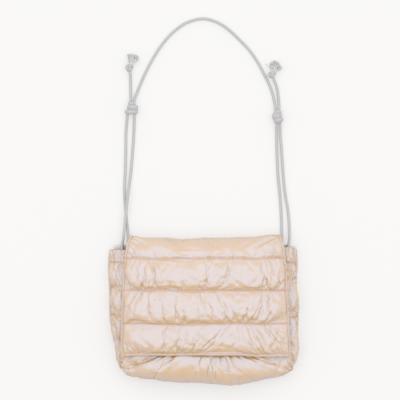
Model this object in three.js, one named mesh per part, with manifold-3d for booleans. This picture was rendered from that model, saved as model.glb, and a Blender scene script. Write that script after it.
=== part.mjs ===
// Puffer messenger bag, lying on its back with its cord strap laid out flat above it.
// Millimetres. +X is the wearer's right as the bag is seen from the front, +Y runs from the
// bag's bottom to its mouth, and +Z points up out of the flap. The surface it lies on is z = 0,
// and the origin is under the middle of the bag.
import * as THREE from "three";
import { mergeVertices } from "three/addons/utils/BufferGeometryUtils.js";
import Module from "manifold-3d";

const wasm = await Module();
wasm.setup();

// Driving dimensions of the padded walls
const SEAM_GAP = 0.4; // clearance between two sewn pieces
const SEAM_WALL = 2.6; // layers of cloth left at a seam or a stitch line
const BACK_PAD = 7; // back panel, from the surface to its inner face
const BACK_LINE_LIFT = 2.8; // how far the back's stitch lines stand off the surface
const FRONT_PAD = 8; // front panel at the crown of a channel
const GUSSET_BULGE = 7; // how far a side gusset swells outwards
const GUSSET_PAD = 4.5; // padding added to a gusset between its seams
const SIDE_FALL = 0.4; // share of its height that the front loses towards its sides
const FOLD_SHARE = 0.14; // share of the padding that the gathers along a seam take up
const EDGE_REACH = 17; // distance from a side seam at which the padding is full
const EDGE_POWER = 0.6; // below 1, the padding fills out quickly from a side seam
const CROWN_POWER = 0.65; // below 1, a channel is flatter on top than a sine wave
const SIDE_FALL_POWER = 2.5; // the higher, the closer to the sides the front's height falls
const BACK_BOTTOM_INSET = 5; // the back panel ends short of the bag's lower edge
const BACK_SIDE_INSET = 0.6;
const GUSSET_EDGE_INSET = 0.8;
const COLUMN_CROWDING = 0.6; // 0 for even columns, 1 for columns crowded towards the sides

// Driving dimensions of the mouth
const BACK_TOP = 91.5; // top edge of the back panel
const MOUTH_SLANT = 2; // how far the front's top edge drops left and rises right
const LINING_WALL = 1.2;
const TAB_WIDTH = 20;
const TAB_LENGTH = 16;
const TAB_HEIGHT = 5.6;
const TAB_ROUND = 3;
const TAB_ROUND_STEPS = 4;

// Driving dimensions of the cord
const CORD_RADIUS = 2.2;
const CORD_SIDES = 8;
const CORD_STEP = 14; // longest straight step along a cord

// Outline of the lying bag, seen from above: a row for each height
const SIDE_LINES = [
  { y: 92, left: -136.5, right: 137 },
  { y: 68, left: -139.6, right: 138.6 },
  { y: 27, left: -138.2, right: 137 },
  { y: 0, left: -138, right: 139.6 },
  { y: -20, left: -137, right: 139.6 },
  { y: -40, left: -132, right: 138.6 },
  { y: -60, left: -126.4, right: 137 },
  { y: -79, left: -124, right: 131 },
];

// Lower edge of the bag: a row for each share of the width from left to right
const BOTTOM_LINE = [
  { share: 0, y: -87.2 },
  { share: 0.018, y: -92.5 },
  { share: 0.055, y: -97.8 },
  { share: 0.14, y: -102.3 },
  { share: 0.35, y: -105.6 },
  { share: 0.6, y: -107.6 },
  { share: 0.73, y: -107.2 },
  { share: 0.865, y: -102.3 },
  { share: 0.935, y: -97.4 },
  { share: 0.972, y: -91.8 },
  { share: 1, y: -85 },
];
const BOTTOM_REACH = -107.6;

// Front panel from its mouth edge to the bottom seam. Whole numbers of line are sewn lines,
// and the fractions after 4 carry the cloth round the bag's bottom.
const FRONT_LINES = [
  { line: 0, y: 88.5, z: 38, left: -117, right: 122 },
  { line: 1, y: 68, z: 43.5, left: -117.5, right: 122.5 },
  { line: 2, y: 28, z: 49, left: -118, right: 123 },
  { line: 3, y: -12, z: 51.3, left: -118.4, right: 123.8 },
  { line: 4, y: -52, z: 50, left: -118.8, right: 125 },
  { line: 4.25, y: -76, z: 46.8, left: -119.6, right: 126.4 },
  { line: 4.5, y: -96, z: 38, left: -121.4, right: 128.4 },
  { line: 4.7, y: -106, z: 27, left: -123, right: 130.2 },
  { line: 4.87, y: -109, z: 16.5, left: -123.8, right: 131 },
  { line: 5, y: -106.3, z: 8, left: -123, right: 130 },
];
const FRONT_LAST = 5;
const FRONT_TURN = 3; // the line from which the bottom outline takes over
const FRONT_SEAM_LEVEL = 8;
const GUSSET_END = 4.72; // the line at which the gussets run out into the bottom corners

// Flap's inner face from its root on the back panel, over the mouth and down the front.
// Whole numbers from 2 on are its sewn lines, and 5 is its free edge.
const FLAP_LINES = [
  { line: 0, y: 91.9, z: 6.4, left: -104.5, right: 110 },
  { line: 0.3, y: 96.6, z: 8.4, left: -105, right: 110.6 },
  { line: 0.7, y: 99.4, z: 18.5, left: -106, right: 111.6 },
  { line: 1.1, y: 99, z: 31, left: -107.5, right: 112.9 },
  { line: 1.45, y: 93.8, z: 41, left: -110.6, right: 115.8 },
  { line: 1.7, y: 86, z: 44.8, left: -112.8, right: 118 },
  { line: 2, y: 73.7, z: 46, left: -114.5, right: 119.7 },
  { line: 3, y: 27, z: 50.7, left: -118, right: 122.8 },
  { line: 4, y: -21.4, z: 52.8, left: -119.2, right: 125 },
  { line: 5, y: -67.3, z: 49.4, left: -120, right: 128 },
];
const FLAP_EDGE_SAG = { left: 1.2, right: 3 }; // how far the free edge hangs lower at its corners
const FLAP_DROOP = 2.5; // how far the flap's sides hang down over the front's sides
const FLAP_DROOP_REACH = 26;

// Padded channels of the front and the flap: thickness at the crown, and the main gathers
// across the width
const FRONT_CHANNELS = [
  { from: 0, to: 1, pad: 6, folds: 5, phase: 0.2 },
  { from: 1, to: 2, pad: 8, folds: 6, phase: 1.1 },
  { from: 2, to: 3, pad: 8, folds: 5, phase: 2.3 },
  { from: 3, to: 4, pad: 8, folds: 6, phase: 0.6 },
  { from: 4, to: 5, pad: 8, folds: 7, phase: 1.9 },
];
const FRONT_ROWS = [{ from: 0, rows: 3 }, { from: 1, rows: 5 }, { from: 2, rows: 5 },
  { from: 3, rows: 5 }, { from: 4, rows: 9 }];
const FRONT_COLUMNS = 18;
const FLAP_CHANNELS = [
  { from: 0, to: 2, pad: 7.5, folds: 4, phase: 0.9 },
  { from: 2, to: 3, pad: 10.5, folds: 6, phase: 0.1 },
  { from: 3, to: 4, pad: 10.5, folds: 5, phase: 2.6 },
  { from: 4, to: 5, pad: 10, folds: 7, phase: 1.4 },
];
const FLAP_ROWS = [{ from: 0, rows: 5 }, { from: 1, rows: 4 }, { from: 2, rows: 7 },
  { from: 3, rows: 7 }, { from: 4, rows: 7 }];
const FLAP_COLUMNS = 22;

// Puckers across the gussets, where their cloth is gathered into the side seams
const GUSSET_PUCKERS = {
  left: [{ y: 67, depth: 0.75 }, { y: 34, depth: 0.6 }, { y: -12, depth: 0.75 }, { y: -50, depth: 0.5 }],
  right: [{ y: 68, depth: 0.6 }, { y: 43, depth: 0.75 }, { y: -1, depth: 0.5 }, { y: -14, depth: 0.75 }],
};
const PUCKER_WIDTH = 6;
const GUSSET_LEAN = { across: 0.8, up: 0.6 }; // direction in which a gusset swells
const GUSSET_ROWS = 24;
const GUSSET_COLUMNS = 5;

const BACK_CHANNELS = 4;
const BACK_ROWS_EACH = 4;
const BACK_COLUMNS = 12;

// Lining facing behind the front's top edge: wider where it stands clear of the gussets
const LINING_EDGES = [
  { y: 93, left: -131.5, right: 132 },
  { y: 85.4, left: -128, right: 127 },
  { y: 84, left: -127, right: 126 },
  { y: 46, left: -127, right: 126 },
];
const LINING_COLUMNS = 8;

// Places of the knots, and the cord ends that run into each: 0 is a route's start, 1 its end.
// z is half the knot's height.
const SLIP_KNOTS = {
  left: { x: -105.4, y: 294, z: 6.4, width: 19.4, length: 19.4, tilt: 0.12 },
  right: { x: 108.8, y: 280.2, z: 6.4, width: 18, length: 20, tilt: -0.42 },
};
const END_KNOTS = {
  left: { x: -108.4, y: 352.4, z: 5, width: 11.6, length: 12 },
  right: { x: 100.6, y: 342.6, z: 5, width: 13, length: 10.4 },
};
const STUB_LENGTH = 7;
const STUB_SIDES = 6;
const WRAP_RADIUS = 2.3;
const WRAP_SIDES = 5;
const WRAP_STEPS = 10;
const MIDDLE_WRAP_SHARE = 0.96; // width of a slip knot's middle turn against its foot
const TOP_WRAP_SHARE = 0.8;
const END_WRAP_TILT = 0.3;
const CORE_TOP_SHARE = 0.74; // width of a knot's top against its foot
const CORE_LENGTH_SHARE = 0.84;
const CORE_SIDES = 10;

// Frayed cord ends: locks fanning out of each end knot, angles from +Y towards +X
const FRAY_LOCKS = {
  left: [
    { angle: -0.36, length: 18, root: 2.6, tip: 1 },
    { angle: -0.06, length: 18.5, root: 2.8, tip: 1.2 },
    { angle: 0.24, length: 19, root: 2.8, tip: 1.2 },
    { angle: 0.52, length: 21, root: 2.6, tip: 1 },
    { angle: 0.8, length: 20, root: 2.4, tip: 0.9 },
  ],
  right: [
    { angle: -0.44, length: 17, root: 2, tip: 0.7 },
    { angle: -0.1, length: 17.5, root: 2.8, tip: 1.1 },
    { angle: 0.22, length: 19.5, root: 2.8, tip: 1.2 },
    { angle: 0.52, length: 20.5, root: 2.8, tip: 1.1 },
    { angle: 0.84, length: 19.5, root: 2.4, tip: 0.9 },
  ],
};
const LOCK_SIDES = 5;
const LOCK_DROOP = 0.1; // slope of the locks down towards the surface
const LOCK_LOW = 0.6; // how far the locks' roots lie below the knot's middle

// Cord routes, laid by hand from the mouth to the knots and between the knots
const CORD_ROUTES = {
  left_inner_strand: [
    { x: -111.2, y: 72.6, z: 11.8 }, { x: -111, y: 84, z: 12 }, { x: -110.6, y: 94, z: 12 },
    { x: -110.4, y: 103, z: 8.6 }, { x: -110.9, y: 113, z: 4 }, { x: -112.4, y: 126, z: 2.5 },
    { x: -114.4, y: 148, z: 2.5 }, { x: -115.8, y: 172, z: 2.5 }, { x: -115.3, y: 188, z: 2.5 },
    { x: -114.6, y: 203, z: 2.5 }, { x: -114, y: 232, z: 2.5 }, { x: -113.6, y: 258, z: 2.4 },
    { x: -112.4, y: 274, z: 3.6 }, { x: -111.6, y: 282.1, z: 5 },
  ],
  left_outer_strand: [
    { x: -118, y: 72.6, z: 11.8 }, { x: -118.9, y: 82, z: 12 }, { x: -119, y: 92, z: 12 },
    { x: -117.9, y: 100, z: 11 }, { x: -116.4, y: 112, z: 8.4 }, { x: -114.8, y: 127, z: 7.2 },
    { x: -112.7, y: 148, z: 7.2 }, { x: -110.7, y: 165, z: 6.6 }, { x: -108.8, y: 180, z: 3.6 },
    { x: -106.6, y: 198, z: 2.5 }, { x: -103.8, y: 230, z: 2.5 }, { x: -102, y: 258, z: 2.4 },
    { x: -101.4, y: 274, z: 3.6 }, { x: -101.2, y: 282.1, z: 5 },
  ],
  left_tail: [
    { x: -106.7, y: 305.8, z: 5 }, { x: -106.7, y: 314, z: 3.4 }, { x: -106.8, y: 324, z: 2.4 },
    { x: -107, y: 336, z: 3.4 }, { x: -107.3, y: 344.2, z: 5 },
  ],
  strap_arch: [
    { x: -101.3, y: 305.8, z: 5 }, { x: -97, y: 317.5, z: 3 }, { x: -89, y: 337, z: 2.5 },
    { x: -77.4, y: 360.5, z: 2.5 }, { x: -67, y: 378.2, z: 2.5 }, { x: -54, y: 395.6, z: 2.5 },
    { x: -42, y: 407.6, z: 2.5 }, { x: -24.6, y: 419.4, z: 2.5 }, { x: -0.4, y: 425.4, z: 2.5 },
    { x: 21.8, y: 419.4, z: 2.5 }, { x: 39, y: 407.8, z: 2.5 }, { x: 51.6, y: 396, z: 2.5 },
    { x: 68.2, y: 378.4, z: 2.5 }, { x: 80.4, y: 360.6, z: 2.5 }, { x: 92.6, y: 337.4, z: 2.5 },
    { x: 98.4, y: 325, z: 2.5 }, { x: 102.6, y: 312, z: 2.6 }, { x: 105, y: 300, z: 3.8 },
    { x: 106, y: 292.2, z: 5 },
  ],
  right_tail: [
    { x: 111.3, y: 292.2, z: 5 }, { x: 111.2, y: 300, z: 3.4 }, { x: 110.2, y: 311, z: 2.4 },
    { x: 107.8, y: 325, z: 3 }, { x: 103.6, y: 336, z: 5 },
  ],
  right_inner_strand: [
    { x: 115.2, y: 72.6, z: 11.8 }, { x: 115.3, y: 84, z: 12 }, { x: 115.5, y: 94, z: 12 },
    { x: 115.5, y: 103, z: 8.6 }, { x: 115.3, y: 113, z: 4 }, { x: 115, y: 126, z: 2.5 },
    { x: 114.2, y: 144, z: 2.5 }, { x: 112.4, y: 168, z: 2.5 }, { x: 109.7, y: 195, z: 2.5 },
    { x: 108.3, y: 228, z: 2.5 }, { x: 107.7, y: 250, z: 2.5 }, { x: 107.5, y: 260, z: 3.6 },
    { x: 107.6, y: 268, z: 5 },
  ],
  right_outer_strand: [
    { x: 121.6, y: 72.6, z: 11.8 }, { x: 121.9, y: 79, z: 12 }, { x: 125.2, y: 93, z: 12 },
    { x: 126.5, y: 102, z: 8.8 }, { x: 126.5, y: 113, z: 4 }, { x: 126, y: 126, z: 2.5 },
    { x: 124.6, y: 143, z: 2.5 }, { x: 120.4, y: 168, z: 2.5 }, { x: 116.9, y: 205, z: 2.5 },
    { x: 115.1, y: 232, z: 2.5 }, { x: 113.5, y: 252, z: 2.5 }, { x: 113, y: 261, z: 3.6 },
    { x: 112.9, y: 268, z: 5 },
  ],
};

const SHELL_CLOTH = { color: 0xe6cdb9, roughness: 0.42, metalness: 0.05 };
const LINING_CLOTH = { color: 0xd2d0d4, roughness: 0.8, metalness: 0 };
const CORD_YARN = { color: 0xcfcfd0, roughness: 0.75, metalness: 0 };

// Smooth value of every column of a table at a place in its key column
function readTable(table, key, at) {
  const last = table.length - 1;
  const place = Math.min(Math.max(at, Math.min(table[0][key], table[last][key])),
    Math.max(table[0][key], table[last][key]));
  const rising = table[last][key] > table[0][key];
  let i = 0;
  while (i < last - 1 && (rising ? place > table[i + 1][key] : place < table[i + 1][key])) i += 1;
  const [before, here, next, after] = [table[Math.max(i - 1, 0)], table[i], table[i + 1],
    table[Math.min(i + 2, last)]];
  const span = next[key] - here[key];
  const t = (place - here[key]) / span;
  const value = {};
  for (const column of Object.keys(here)) {
    const leave = (span * (next[column] - before[column])) / (next[key] - before[key]);
    const arrive = (span * (after[column] - here[column])) / (after[key] - here[key]);
    value[column] = here[column] * (2 * t ** 3 - 3 * t ** 2 + 1) + leave * (t ** 3 - 2 * t ** 2 + t)
      + next[column] * (3 * t ** 2 - 2 * t ** 3) + arrive * (t ** 3 - t ** 2);
  }
  return value;
}

// Leaves only merged positions, so that the mesh is closed
function weld(geometry) {
  geometry.deleteAttribute("normal");
  geometry.deleteAttribute("uv");
  const merged = mergeVertices(geometry, 1e-4);
  merged.clearGroups();
  merged.computeVertexNormals();
  return merged;
}

// A padded panel: a box bent so that its back and front faces become the panel's two faces.
// place gets the share across, the row number along and 0 or 1 for the lower or upper face.
function bentPanel(columns, rows, place) {
  const box = new THREE.BoxGeometry(1, 1, 1, columns, rows, 1);
  const at = box.getAttribute("position");
  for (let i = 0; i < at.count; i += 1) {
    const across = at.getX(i) + 0.5;
    const row = Math.round((0.5 - at.getY(i)) * rows);
    const face = at.getZ(i) > 0 ? 1 : 0;
    const point = place(across, row, face);
    at.setXYZ(i, point.x, point.y, point.z);
  }
  return weld(box);
}

// Columns stand closer together towards a panel's sides
function closeToSides(across) {
  const rounded = 0.5 - 0.5 * Math.cos(Math.PI * across);
  return THREE.MathUtils.lerp(across, rounded, COLUMN_CROWDING);
}

// The line number of a row, from a table of how many rows each stretch has
function lineOfRow(stretches, row) {
  let left = row;
  for (const stretch of stretches) {
    if (left <= stretch.rows) return stretch.from + left / stretch.rows;
    left -= stretch.rows;
  }
  return undefined;
}

function countRows(stretches) {
  return stretches.reduce((sum, stretch) => sum + stretch.rows, 0);
}

// Thickness of the padding between two sewn lines, with its gathers and its fall to the sides
function paddingAt(channels, line, across, width) {
  const channel = channels.find((row) => line <= row.to);
  const t = (line - channel.from) / (channel.to - channel.from);
  const crown = Math.max(Math.sin(Math.PI * t), 0) ** CROWN_POWER;
  const inside = Math.min(across, 1 - across) * width;
  const edge = Math.min(1, inside / EDGE_REACH) ** EDGE_POWER;
  const gather = 1 + FOLD_SHARE * Math.cos(2 * Math.PI * channel.folds * across + channel.phase * 2);
  return (channel.pad - SEAM_WALL) * crown * edge * gather;
}

// Unit normal of a base surface given as a function of share across and line
function normalOf(base, across, line, lastLine) {
  const step = 0.01;
  const right = base(Math.min(across + step, 1), line);
  const left = base(Math.max(across - step, 0), line);
  const down = base(across, Math.min(line + step, lastLine));
  const up = base(across, Math.max(line - step, 0));
  return down.sub(up).cross(right.sub(left)).normalize();
}

// How much of the front's height is left at a place across it
function sideShare(x, left, right) {
  const fromMiddle = Math.abs((2 * (x - left)) / (right - left) - 1);
  return 1 - SIDE_FALL * fromMiddle ** SIDE_FALL_POWER;
}

function frontBase(across, line) {
  const row = readTable(FRONT_LINES, "line", line);
  const x = THREE.MathUtils.lerp(row.left, row.right, across);
  let y = row.y;
  if (line > FRONT_TURN) {
    const turn = FRONT_LINES[FRONT_TURN].y;
    const reach = readTable(BOTTOM_LINE, "share", across).y;
    y = turn + ((row.y - turn) * (reach - turn)) / (BOTTOM_REACH - turn);
  }
  if (line < 1) y += (1 - line) * THREE.MathUtils.lerp(-MOUTH_SLANT, MOUTH_SLANT, across);
  const share = sideShare(x, row.left, row.right);
  return new THREE.Vector3(x, y, FRONT_SEAM_LEVEL + (row.z - FRONT_SEAM_LEVEL) * share);
}

// Front panel: its crowns touch the base surface, and its inner face is smooth
function frontPoint(across, line, face) {
  const row = readTable(FRONT_LINES, "line", line);
  const padding = paddingAt(FRONT_CHANNELS, line, across, row.right - row.left);
  const depth = face === 1 ? FRONT_PAD - SEAM_WALL - padding : FRONT_PAD;
  const normal = normalOf(frontBase, across, line, FRONT_LAST);
  const point = frontBase(across, line).addScaledVector(normal, -depth);
  if (line === FRONT_LAST) point.z = BACK_PAD + SEAM_GAP;
  return point;
}

function frontPanel() {
  return bentPanel(FRONT_COLUMNS, countRows(FRONT_ROWS), (across, row, face) =>
    frontPoint(closeToSides(across), lineOfRow(FRONT_ROWS, row), face));
}

// Back panel: channels pressed flat on the surface, with a plain inner face
function backPanel() {
  const rows = BACK_CHANNELS * BACK_ROWS_EACH;
  return bentPanel(BACK_COLUMNS, rows, (across, row, face) => {
    const share = closeToSides(across);
    const bottom = readTable(BOTTOM_LINE, "share", share).y + BACK_BOTTOM_INSET;
    const y = THREE.MathUtils.lerp(BACK_TOP, bottom, row / rows);
    const sides = readTable(SIDE_LINES, "y", y);
    const x = THREE.MathUtils.lerp(sides.left + BACK_SIDE_INSET, sides.right - BACK_SIDE_INSET, share);
    const sewn = row % BACK_ROWS_EACH === 0 || across < 1e-6 || across > 1 - 1e-6;
    return new THREE.Vector3(x, y, face === 1 ? BACK_PAD : sewn ? BACK_LINE_LIFT : 0);
  });
}

// Side gusset: a padded strip between the front's side seam and the back panel's edge
function sideGusset(side) {
  const left = side === "left";
  const outwards = new THREE.Vector3(left ? -GUSSET_LEAN.across : GUSSET_LEAN.across, 0, GUSSET_LEAN.up);
  return bentPanel(GUSSET_COLUMNS, GUSSET_ROWS, (across, row, face) => {
    const line = (GUSSET_END * row) / GUSSET_ROWS;
    const fromBack = left ? across : 1 - across;
    const front = frontPoint(left ? 0 : 1, line, face);
    front.x += left ? -SEAM_GAP : SEAM_GAP;
    const sides = readTable(SIDE_LINES, "y", front.y);
    const wall = face === 1 ? GUSSET_EDGE_INSET : GUSSET_EDGE_INSET + SEAM_WALL;
    const edge = left ? sides.left + wall : sides.right - wall;
    const back = new THREE.Vector3(edge, front.y, BACK_PAD + SEAM_GAP);
    const swell = Math.sin(Math.PI * fromBack);
    const pucker = GUSSET_PUCKERS[side].reduce((keep, fold) =>
      keep * (1 - fold.depth * Math.exp(-(((front.y - fold.y) / PUCKER_WIDTH) ** 2))), 1);
    const bulge = face === 1 ? GUSSET_BULGE * pucker : GUSSET_BULGE - GUSSET_PAD;
    return back.lerp(front, fromBack).addScaledVector(outwards, swell * Math.min(bulge, GUSSET_BULGE));
  });
}

// Lining facing: a thin sheet on the back panel's inner face, standing above the front's edge
function lining() {
  const rows = LINING_EDGES.length - 1;
  return bentPanel(LINING_COLUMNS, rows, (across, row, face) => {
    const edge = LINING_EDGES[row];
    const x = THREE.MathUtils.lerp(edge.left, edge.right, across);
    return new THREE.Vector3(x, edge.y, BACK_PAD + SEAM_GAP + face * LINING_WALL);
  });
}

function flapBase(across, line) {
  const row = readTable(FLAP_LINES, "line", line);
  const x = THREE.MathUtils.lerp(row.left, row.right, across);
  const corner = across < 0.5 ? FLAP_EDGE_SAG.left : FLAP_EDGE_SAG.right;
  const y = row.y - corner * (2 * across - 1) ** 2 * Math.max(0, line - 4);
  const under = readTable(FRONT_LINES, "line", Math.max(0, line - 1));
  const share = sideShare(x, under.left, under.right);
  const inside = Math.min(across, 1 - across) * (row.right - row.left);
  const droop = FLAP_DROOP * Math.max(0, 1 - inside / FLAP_DROOP_REACH) ** 2 * Math.min(1, line / 2);
  return new THREE.Vector3(x, y, FRONT_SEAM_LEVEL + (row.z - FRONT_SEAM_LEVEL) * share - droop);
}

// Flap: its inner face lies over the front panel, and its channels swell outwards
function flap() {
  const lastLine = FLAP_LINES[FLAP_LINES.length - 1].line;
  return bentPanel(FLAP_COLUMNS, countRows(FLAP_ROWS), (across, row, face) => {
    const share = closeToSides(across);
    const line = lineOfRow(FLAP_ROWS, row);
    const sides = readTable(FLAP_LINES, "line", line);
    const padding = paddingAt(FLAP_CHANNELS, line, share, sides.right - sides.left);
    const normal = normalOf(flapBase, share, line, lastLine);
    return flapBase(share, line).addScaledVector(normal, face * (SEAM_WALL + padding));
  });
}

// Cord tab: the sewn tab inside the mouth that both strands of one side run into
function cordTab(side) {
  const [inner, outer] = [CORD_ROUTES[`${side}_inner_strand`][0], CORD_ROUTES[`${side}_outer_strand`][0]];
  const [halfWidth, halfLength] = [TAB_WIDTH / 2, TAB_LENGTH / 2];
  const outline = new THREE.Shape();
  outline.moveTo(-halfWidth + TAB_ROUND, -halfLength);
  outline.lineTo(halfWidth - TAB_ROUND, -halfLength);
  outline.absarc(halfWidth - TAB_ROUND, -halfLength + TAB_ROUND, TAB_ROUND, -Math.PI / 2, 0);
  outline.lineTo(halfWidth, halfLength);
  outline.lineTo(-halfWidth, halfLength);
  outline.absarc(-halfWidth + TAB_ROUND, -halfLength + TAB_ROUND, TAB_ROUND, Math.PI, 1.5 * Math.PI);
  const tab = new THREE.ExtrudeGeometry(outline, {
    depth: TAB_HEIGHT, bevelEnabled: false, curveSegments: TAB_ROUND_STEPS,
  });
  const top = inner.y - SEAM_GAP;
  const floor = BACK_PAD + LINING_WALL + 2 * SEAM_GAP;
  tab.translate((inner.x + outer.x) / 2, top - halfLength, floor);
  return weld(tab);
}

function cordCurve(route) {
  const points = route.map((p) => new THREE.Vector3(p.x, p.y, p.z));
  return new THREE.CatmullRomCurve3(points, false, "centripetal");
}

// Tube along a hand-laid route
function cordTube(route) {
  const curve = cordCurve(route);
  const section = new THREE.Shape();
  section.absarc(0, 0, CORD_RADIUS, 0, 2 * Math.PI);
  const steps = Math.ceil(curve.getLength() / CORD_STEP);
  const tube = new THREE.ExtrudeGeometry(section, {
    steps, extrudePath: curve, curveSegments: CORD_SIDES / 2, bevelEnabled: false,
  });
  return weld(tube);
}

function toSolid(geometry) {
  const mesh = new wasm.Mesh({
    numProp: 3,
    vertProperties: new Float32Array(geometry.getAttribute("position").array),
    triVerts: new Uint32Array(geometry.getIndex().array),
  });
  return new wasm.Manifold(mesh);
}

function toGeometry(solid) {
  const mesh = solid.getMesh();
  const geometry = new THREE.BufferGeometry();
  geometry.setAttribute("position", new THREE.BufferAttribute(mesh.vertProperties, 3));
  geometry.setIndex(new THREE.BufferAttribute(mesh.triVerts, 1));
  geometry.computeVertexNormals();
  return geometry;
}

function join(geometries) {
  return toGeometry(geometries.map(toSolid).reduce((sum, solid) => sum.add(solid)));
}

// One turn of cord round a knot, flattened to the knot's width and height
function wrap(knot, offset, tilt, widthShare) {
  const ring = new THREE.TorusGeometry(knot.width / 2 - WRAP_RADIUS, WRAP_RADIUS, WRAP_SIDES, WRAP_STEPS);
  ring.rotateX(Math.PI / 2);
  ring.scale(widthShare, 1, (knot.z * 2) / knot.width);
  ring.rotateZ(tilt);
  ring.translate(knot.x, knot.y + offset, knot.z);
  return weld(ring);
}

// The tight bundle inside a knot, narrower towards the top
function core(knot) {
  const bundle = new THREE.CylinderGeometry(CORE_TOP_SHARE, 1, knot.length * CORE_LENGTH_SHARE, CORE_SIDES);
  bundle.scale(knot.width / 2 - WRAP_RADIUS / 2, 1, knot.z - WRAP_RADIUS / 2);
  bundle.translate(knot.x, knot.y, knot.z);
  return weld(bundle);
}

// Short straight end of cord that reaches out of a knot to the end of a route: 0 its start, 1 its end
function stub(routeName, end, length) {
  const curve = cordCurve(CORD_ROUTES[routeName]);
  const inwards = curve.getTangent(end).multiplyScalar(end === 0 ? -1 : 1);
  const peg = new THREE.CylinderGeometry(CORD_RADIUS, CORD_RADIUS, length, STUB_SIDES);
  const turn = new THREE.Quaternion().setFromUnitVectors(new THREE.Vector3(0, 1, 0), inwards);
  peg.applyQuaternion(turn);
  const middle = curve.getPoint(end).addScaledVector(inwards, SEAM_GAP + length / 2);
  peg.translate(middle.x, middle.y, middle.z);
  return weld(peg);
}

function slipKnot(side) {
  const knot = SLIP_KNOTS[side];
  const spread = knot.length / 2 - WRAP_RADIUS;
  const wraps = [
    wrap(knot, -spread, 0, 1),
    wrap(knot, 0, knot.tilt, MIDDLE_WRAP_SHARE),
    wrap(knot, spread, -knot.tilt, TOP_WRAP_SHARE),
  ];
  const stubs = [
    stub(`${side}_inner_strand`, 1, STUB_LENGTH),
    stub(`${side}_outer_strand`, 1, STUB_LENGTH),
    stub(`${side}_tail`, 0, STUB_LENGTH),
    stub("strap_arch", side === "left" ? 0 : 1, STUB_LENGTH),
  ];
  return join([core(knot), ...wraps, ...stubs]);
}

function endKnot(side) {
  const knot = END_KNOTS[side];
  const locks = FRAY_LOCKS[side].map((row) => {
    const lock = new THREE.CylinderGeometry(row.tip, row.root, row.length, LOCK_SIDES);
    lock.translate(0, row.length / 2, 0);
    lock.rotateX(-LOCK_DROOP);
    lock.rotateZ(-row.angle);
    lock.translate(knot.x, knot.y, knot.z - LOCK_LOW);
    return weld(lock);
  });
  return join([core(knot), wrap(knot, 0, END_WRAP_TILT, 1), stub(`${side}_tail`, 1, STUB_LENGTH), ...locks]);
}

const bag = new THREE.Group();

function add(name, geometry, look) {
  const mesh = new THREE.Mesh(geometry, new THREE.MeshStandardMaterial(look));
  mesh.name = name;
  bag.add(mesh);
}

add("back_panel", backPanel(), SHELL_CLOTH);
add("front_panel", frontPanel(), SHELL_CLOTH);
add("lining", lining(), LINING_CLOTH);
add("flap", flap(), SHELL_CLOTH);
for (const side of ["left", "right"]) {
  add(`${side}_gusset`, sideGusset(side), SHELL_CLOTH);
  add(`${side}_cord_tab`, cordTab(side), LINING_CLOTH);
  add(`${side}_slip_knot`, slipKnot(side), CORD_YARN);
  add(`${side}_end_knot`, endKnot(side), CORD_YARN);
}
for (const [name, route] of Object.entries(CORD_ROUTES)) add(name, cordTube(route), CORD_YARN);

export default bag;
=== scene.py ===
import math

import bpy
import numpy as np
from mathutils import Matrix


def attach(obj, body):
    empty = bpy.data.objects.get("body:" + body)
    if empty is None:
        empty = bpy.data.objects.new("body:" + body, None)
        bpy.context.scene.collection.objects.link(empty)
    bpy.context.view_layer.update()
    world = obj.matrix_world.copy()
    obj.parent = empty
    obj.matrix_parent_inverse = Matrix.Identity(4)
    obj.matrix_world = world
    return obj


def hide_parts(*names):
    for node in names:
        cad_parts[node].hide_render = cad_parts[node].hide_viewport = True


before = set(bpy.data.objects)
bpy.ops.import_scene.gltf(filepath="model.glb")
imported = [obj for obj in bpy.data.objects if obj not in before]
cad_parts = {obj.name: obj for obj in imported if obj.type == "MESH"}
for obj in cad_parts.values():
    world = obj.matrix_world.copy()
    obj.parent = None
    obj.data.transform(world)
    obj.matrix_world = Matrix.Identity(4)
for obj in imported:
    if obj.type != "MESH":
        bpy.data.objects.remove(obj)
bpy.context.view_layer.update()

# Floor, light and camera
# The bag lies on its back on a pale sheet, under one wide soft light in a room whose sides are
# bright and whose near end is dim, and is seen straight from above through a long lens.
FLOOR_SIZE = 12.0
FLOOR_COLOUR = (0.38, 0.38, 0.38, 1)
FLOOR_GLOW = 0.475
FLOOR_ROUGHNESS = 0.9
FLOOR_SHINE = 0.1
VIEW_CENTRE = (-0.0048, 0.1589)
VIEW_WIDTH = 0.5848
VIEW_LEVEL = 0.03
VIEW_DEPTH = 100.0
CAMERA_DISTANCE = 5.0
SENSOR_WIDTH = 36.0
SOFTBOX_HEIGHT = 6.0
SOFTBOX_WIDTH = 14.0
SOFTBOX_LENGTH = 10.4
SOFTBOX_SHIFT = 1.7
SOFTBOX_RADIANCE = 0.845
ROOM_BRIGHT = (0.98, 0.98, 0.98, 1)
ROOM_DARK = (0.52, 0.47, 0.41, 1)
ROOM_TOP_SHARE = 0.5


def new_object(name, data):
    piece = bpy.data.objects.new(name, data)
    bpy.context.scene.collection.objects.link(piece)
    return piece


def new_material(name):
    """A material, its Principled shader and its node tree."""
    material = bpy.data.materials.new(name)
    material.use_nodes = True
    tree = material.node_tree
    tree.nodes.clear()
    shader = tree.nodes.new("ShaderNodeBsdfPrincipled")
    output = tree.nodes.new("ShaderNodeOutputMaterial")
    tree.links.new(shader.outputs["BSDF"], output.inputs["Surface"])
    return material, shader, tree


def wire(tree, *joins):
    """Links in a node tree, each given as a node, its output, another node and its input."""
    for source, leaving, target, entering in joins:
        tree.links.new(source.outputs[leaving], target.inputs[entering])


def math_node(tree, operation, second=None, third=None):
    """A Math node whose second and third inputs may be constants."""
    node = tree.nodes.new("ShaderNodeMath")
    node.operation = operation
    for socket, value in ((node.inputs[1], second), (node.inputs[2], third)):
        if value is not None:
            socket.default_value = value
    return node


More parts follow.
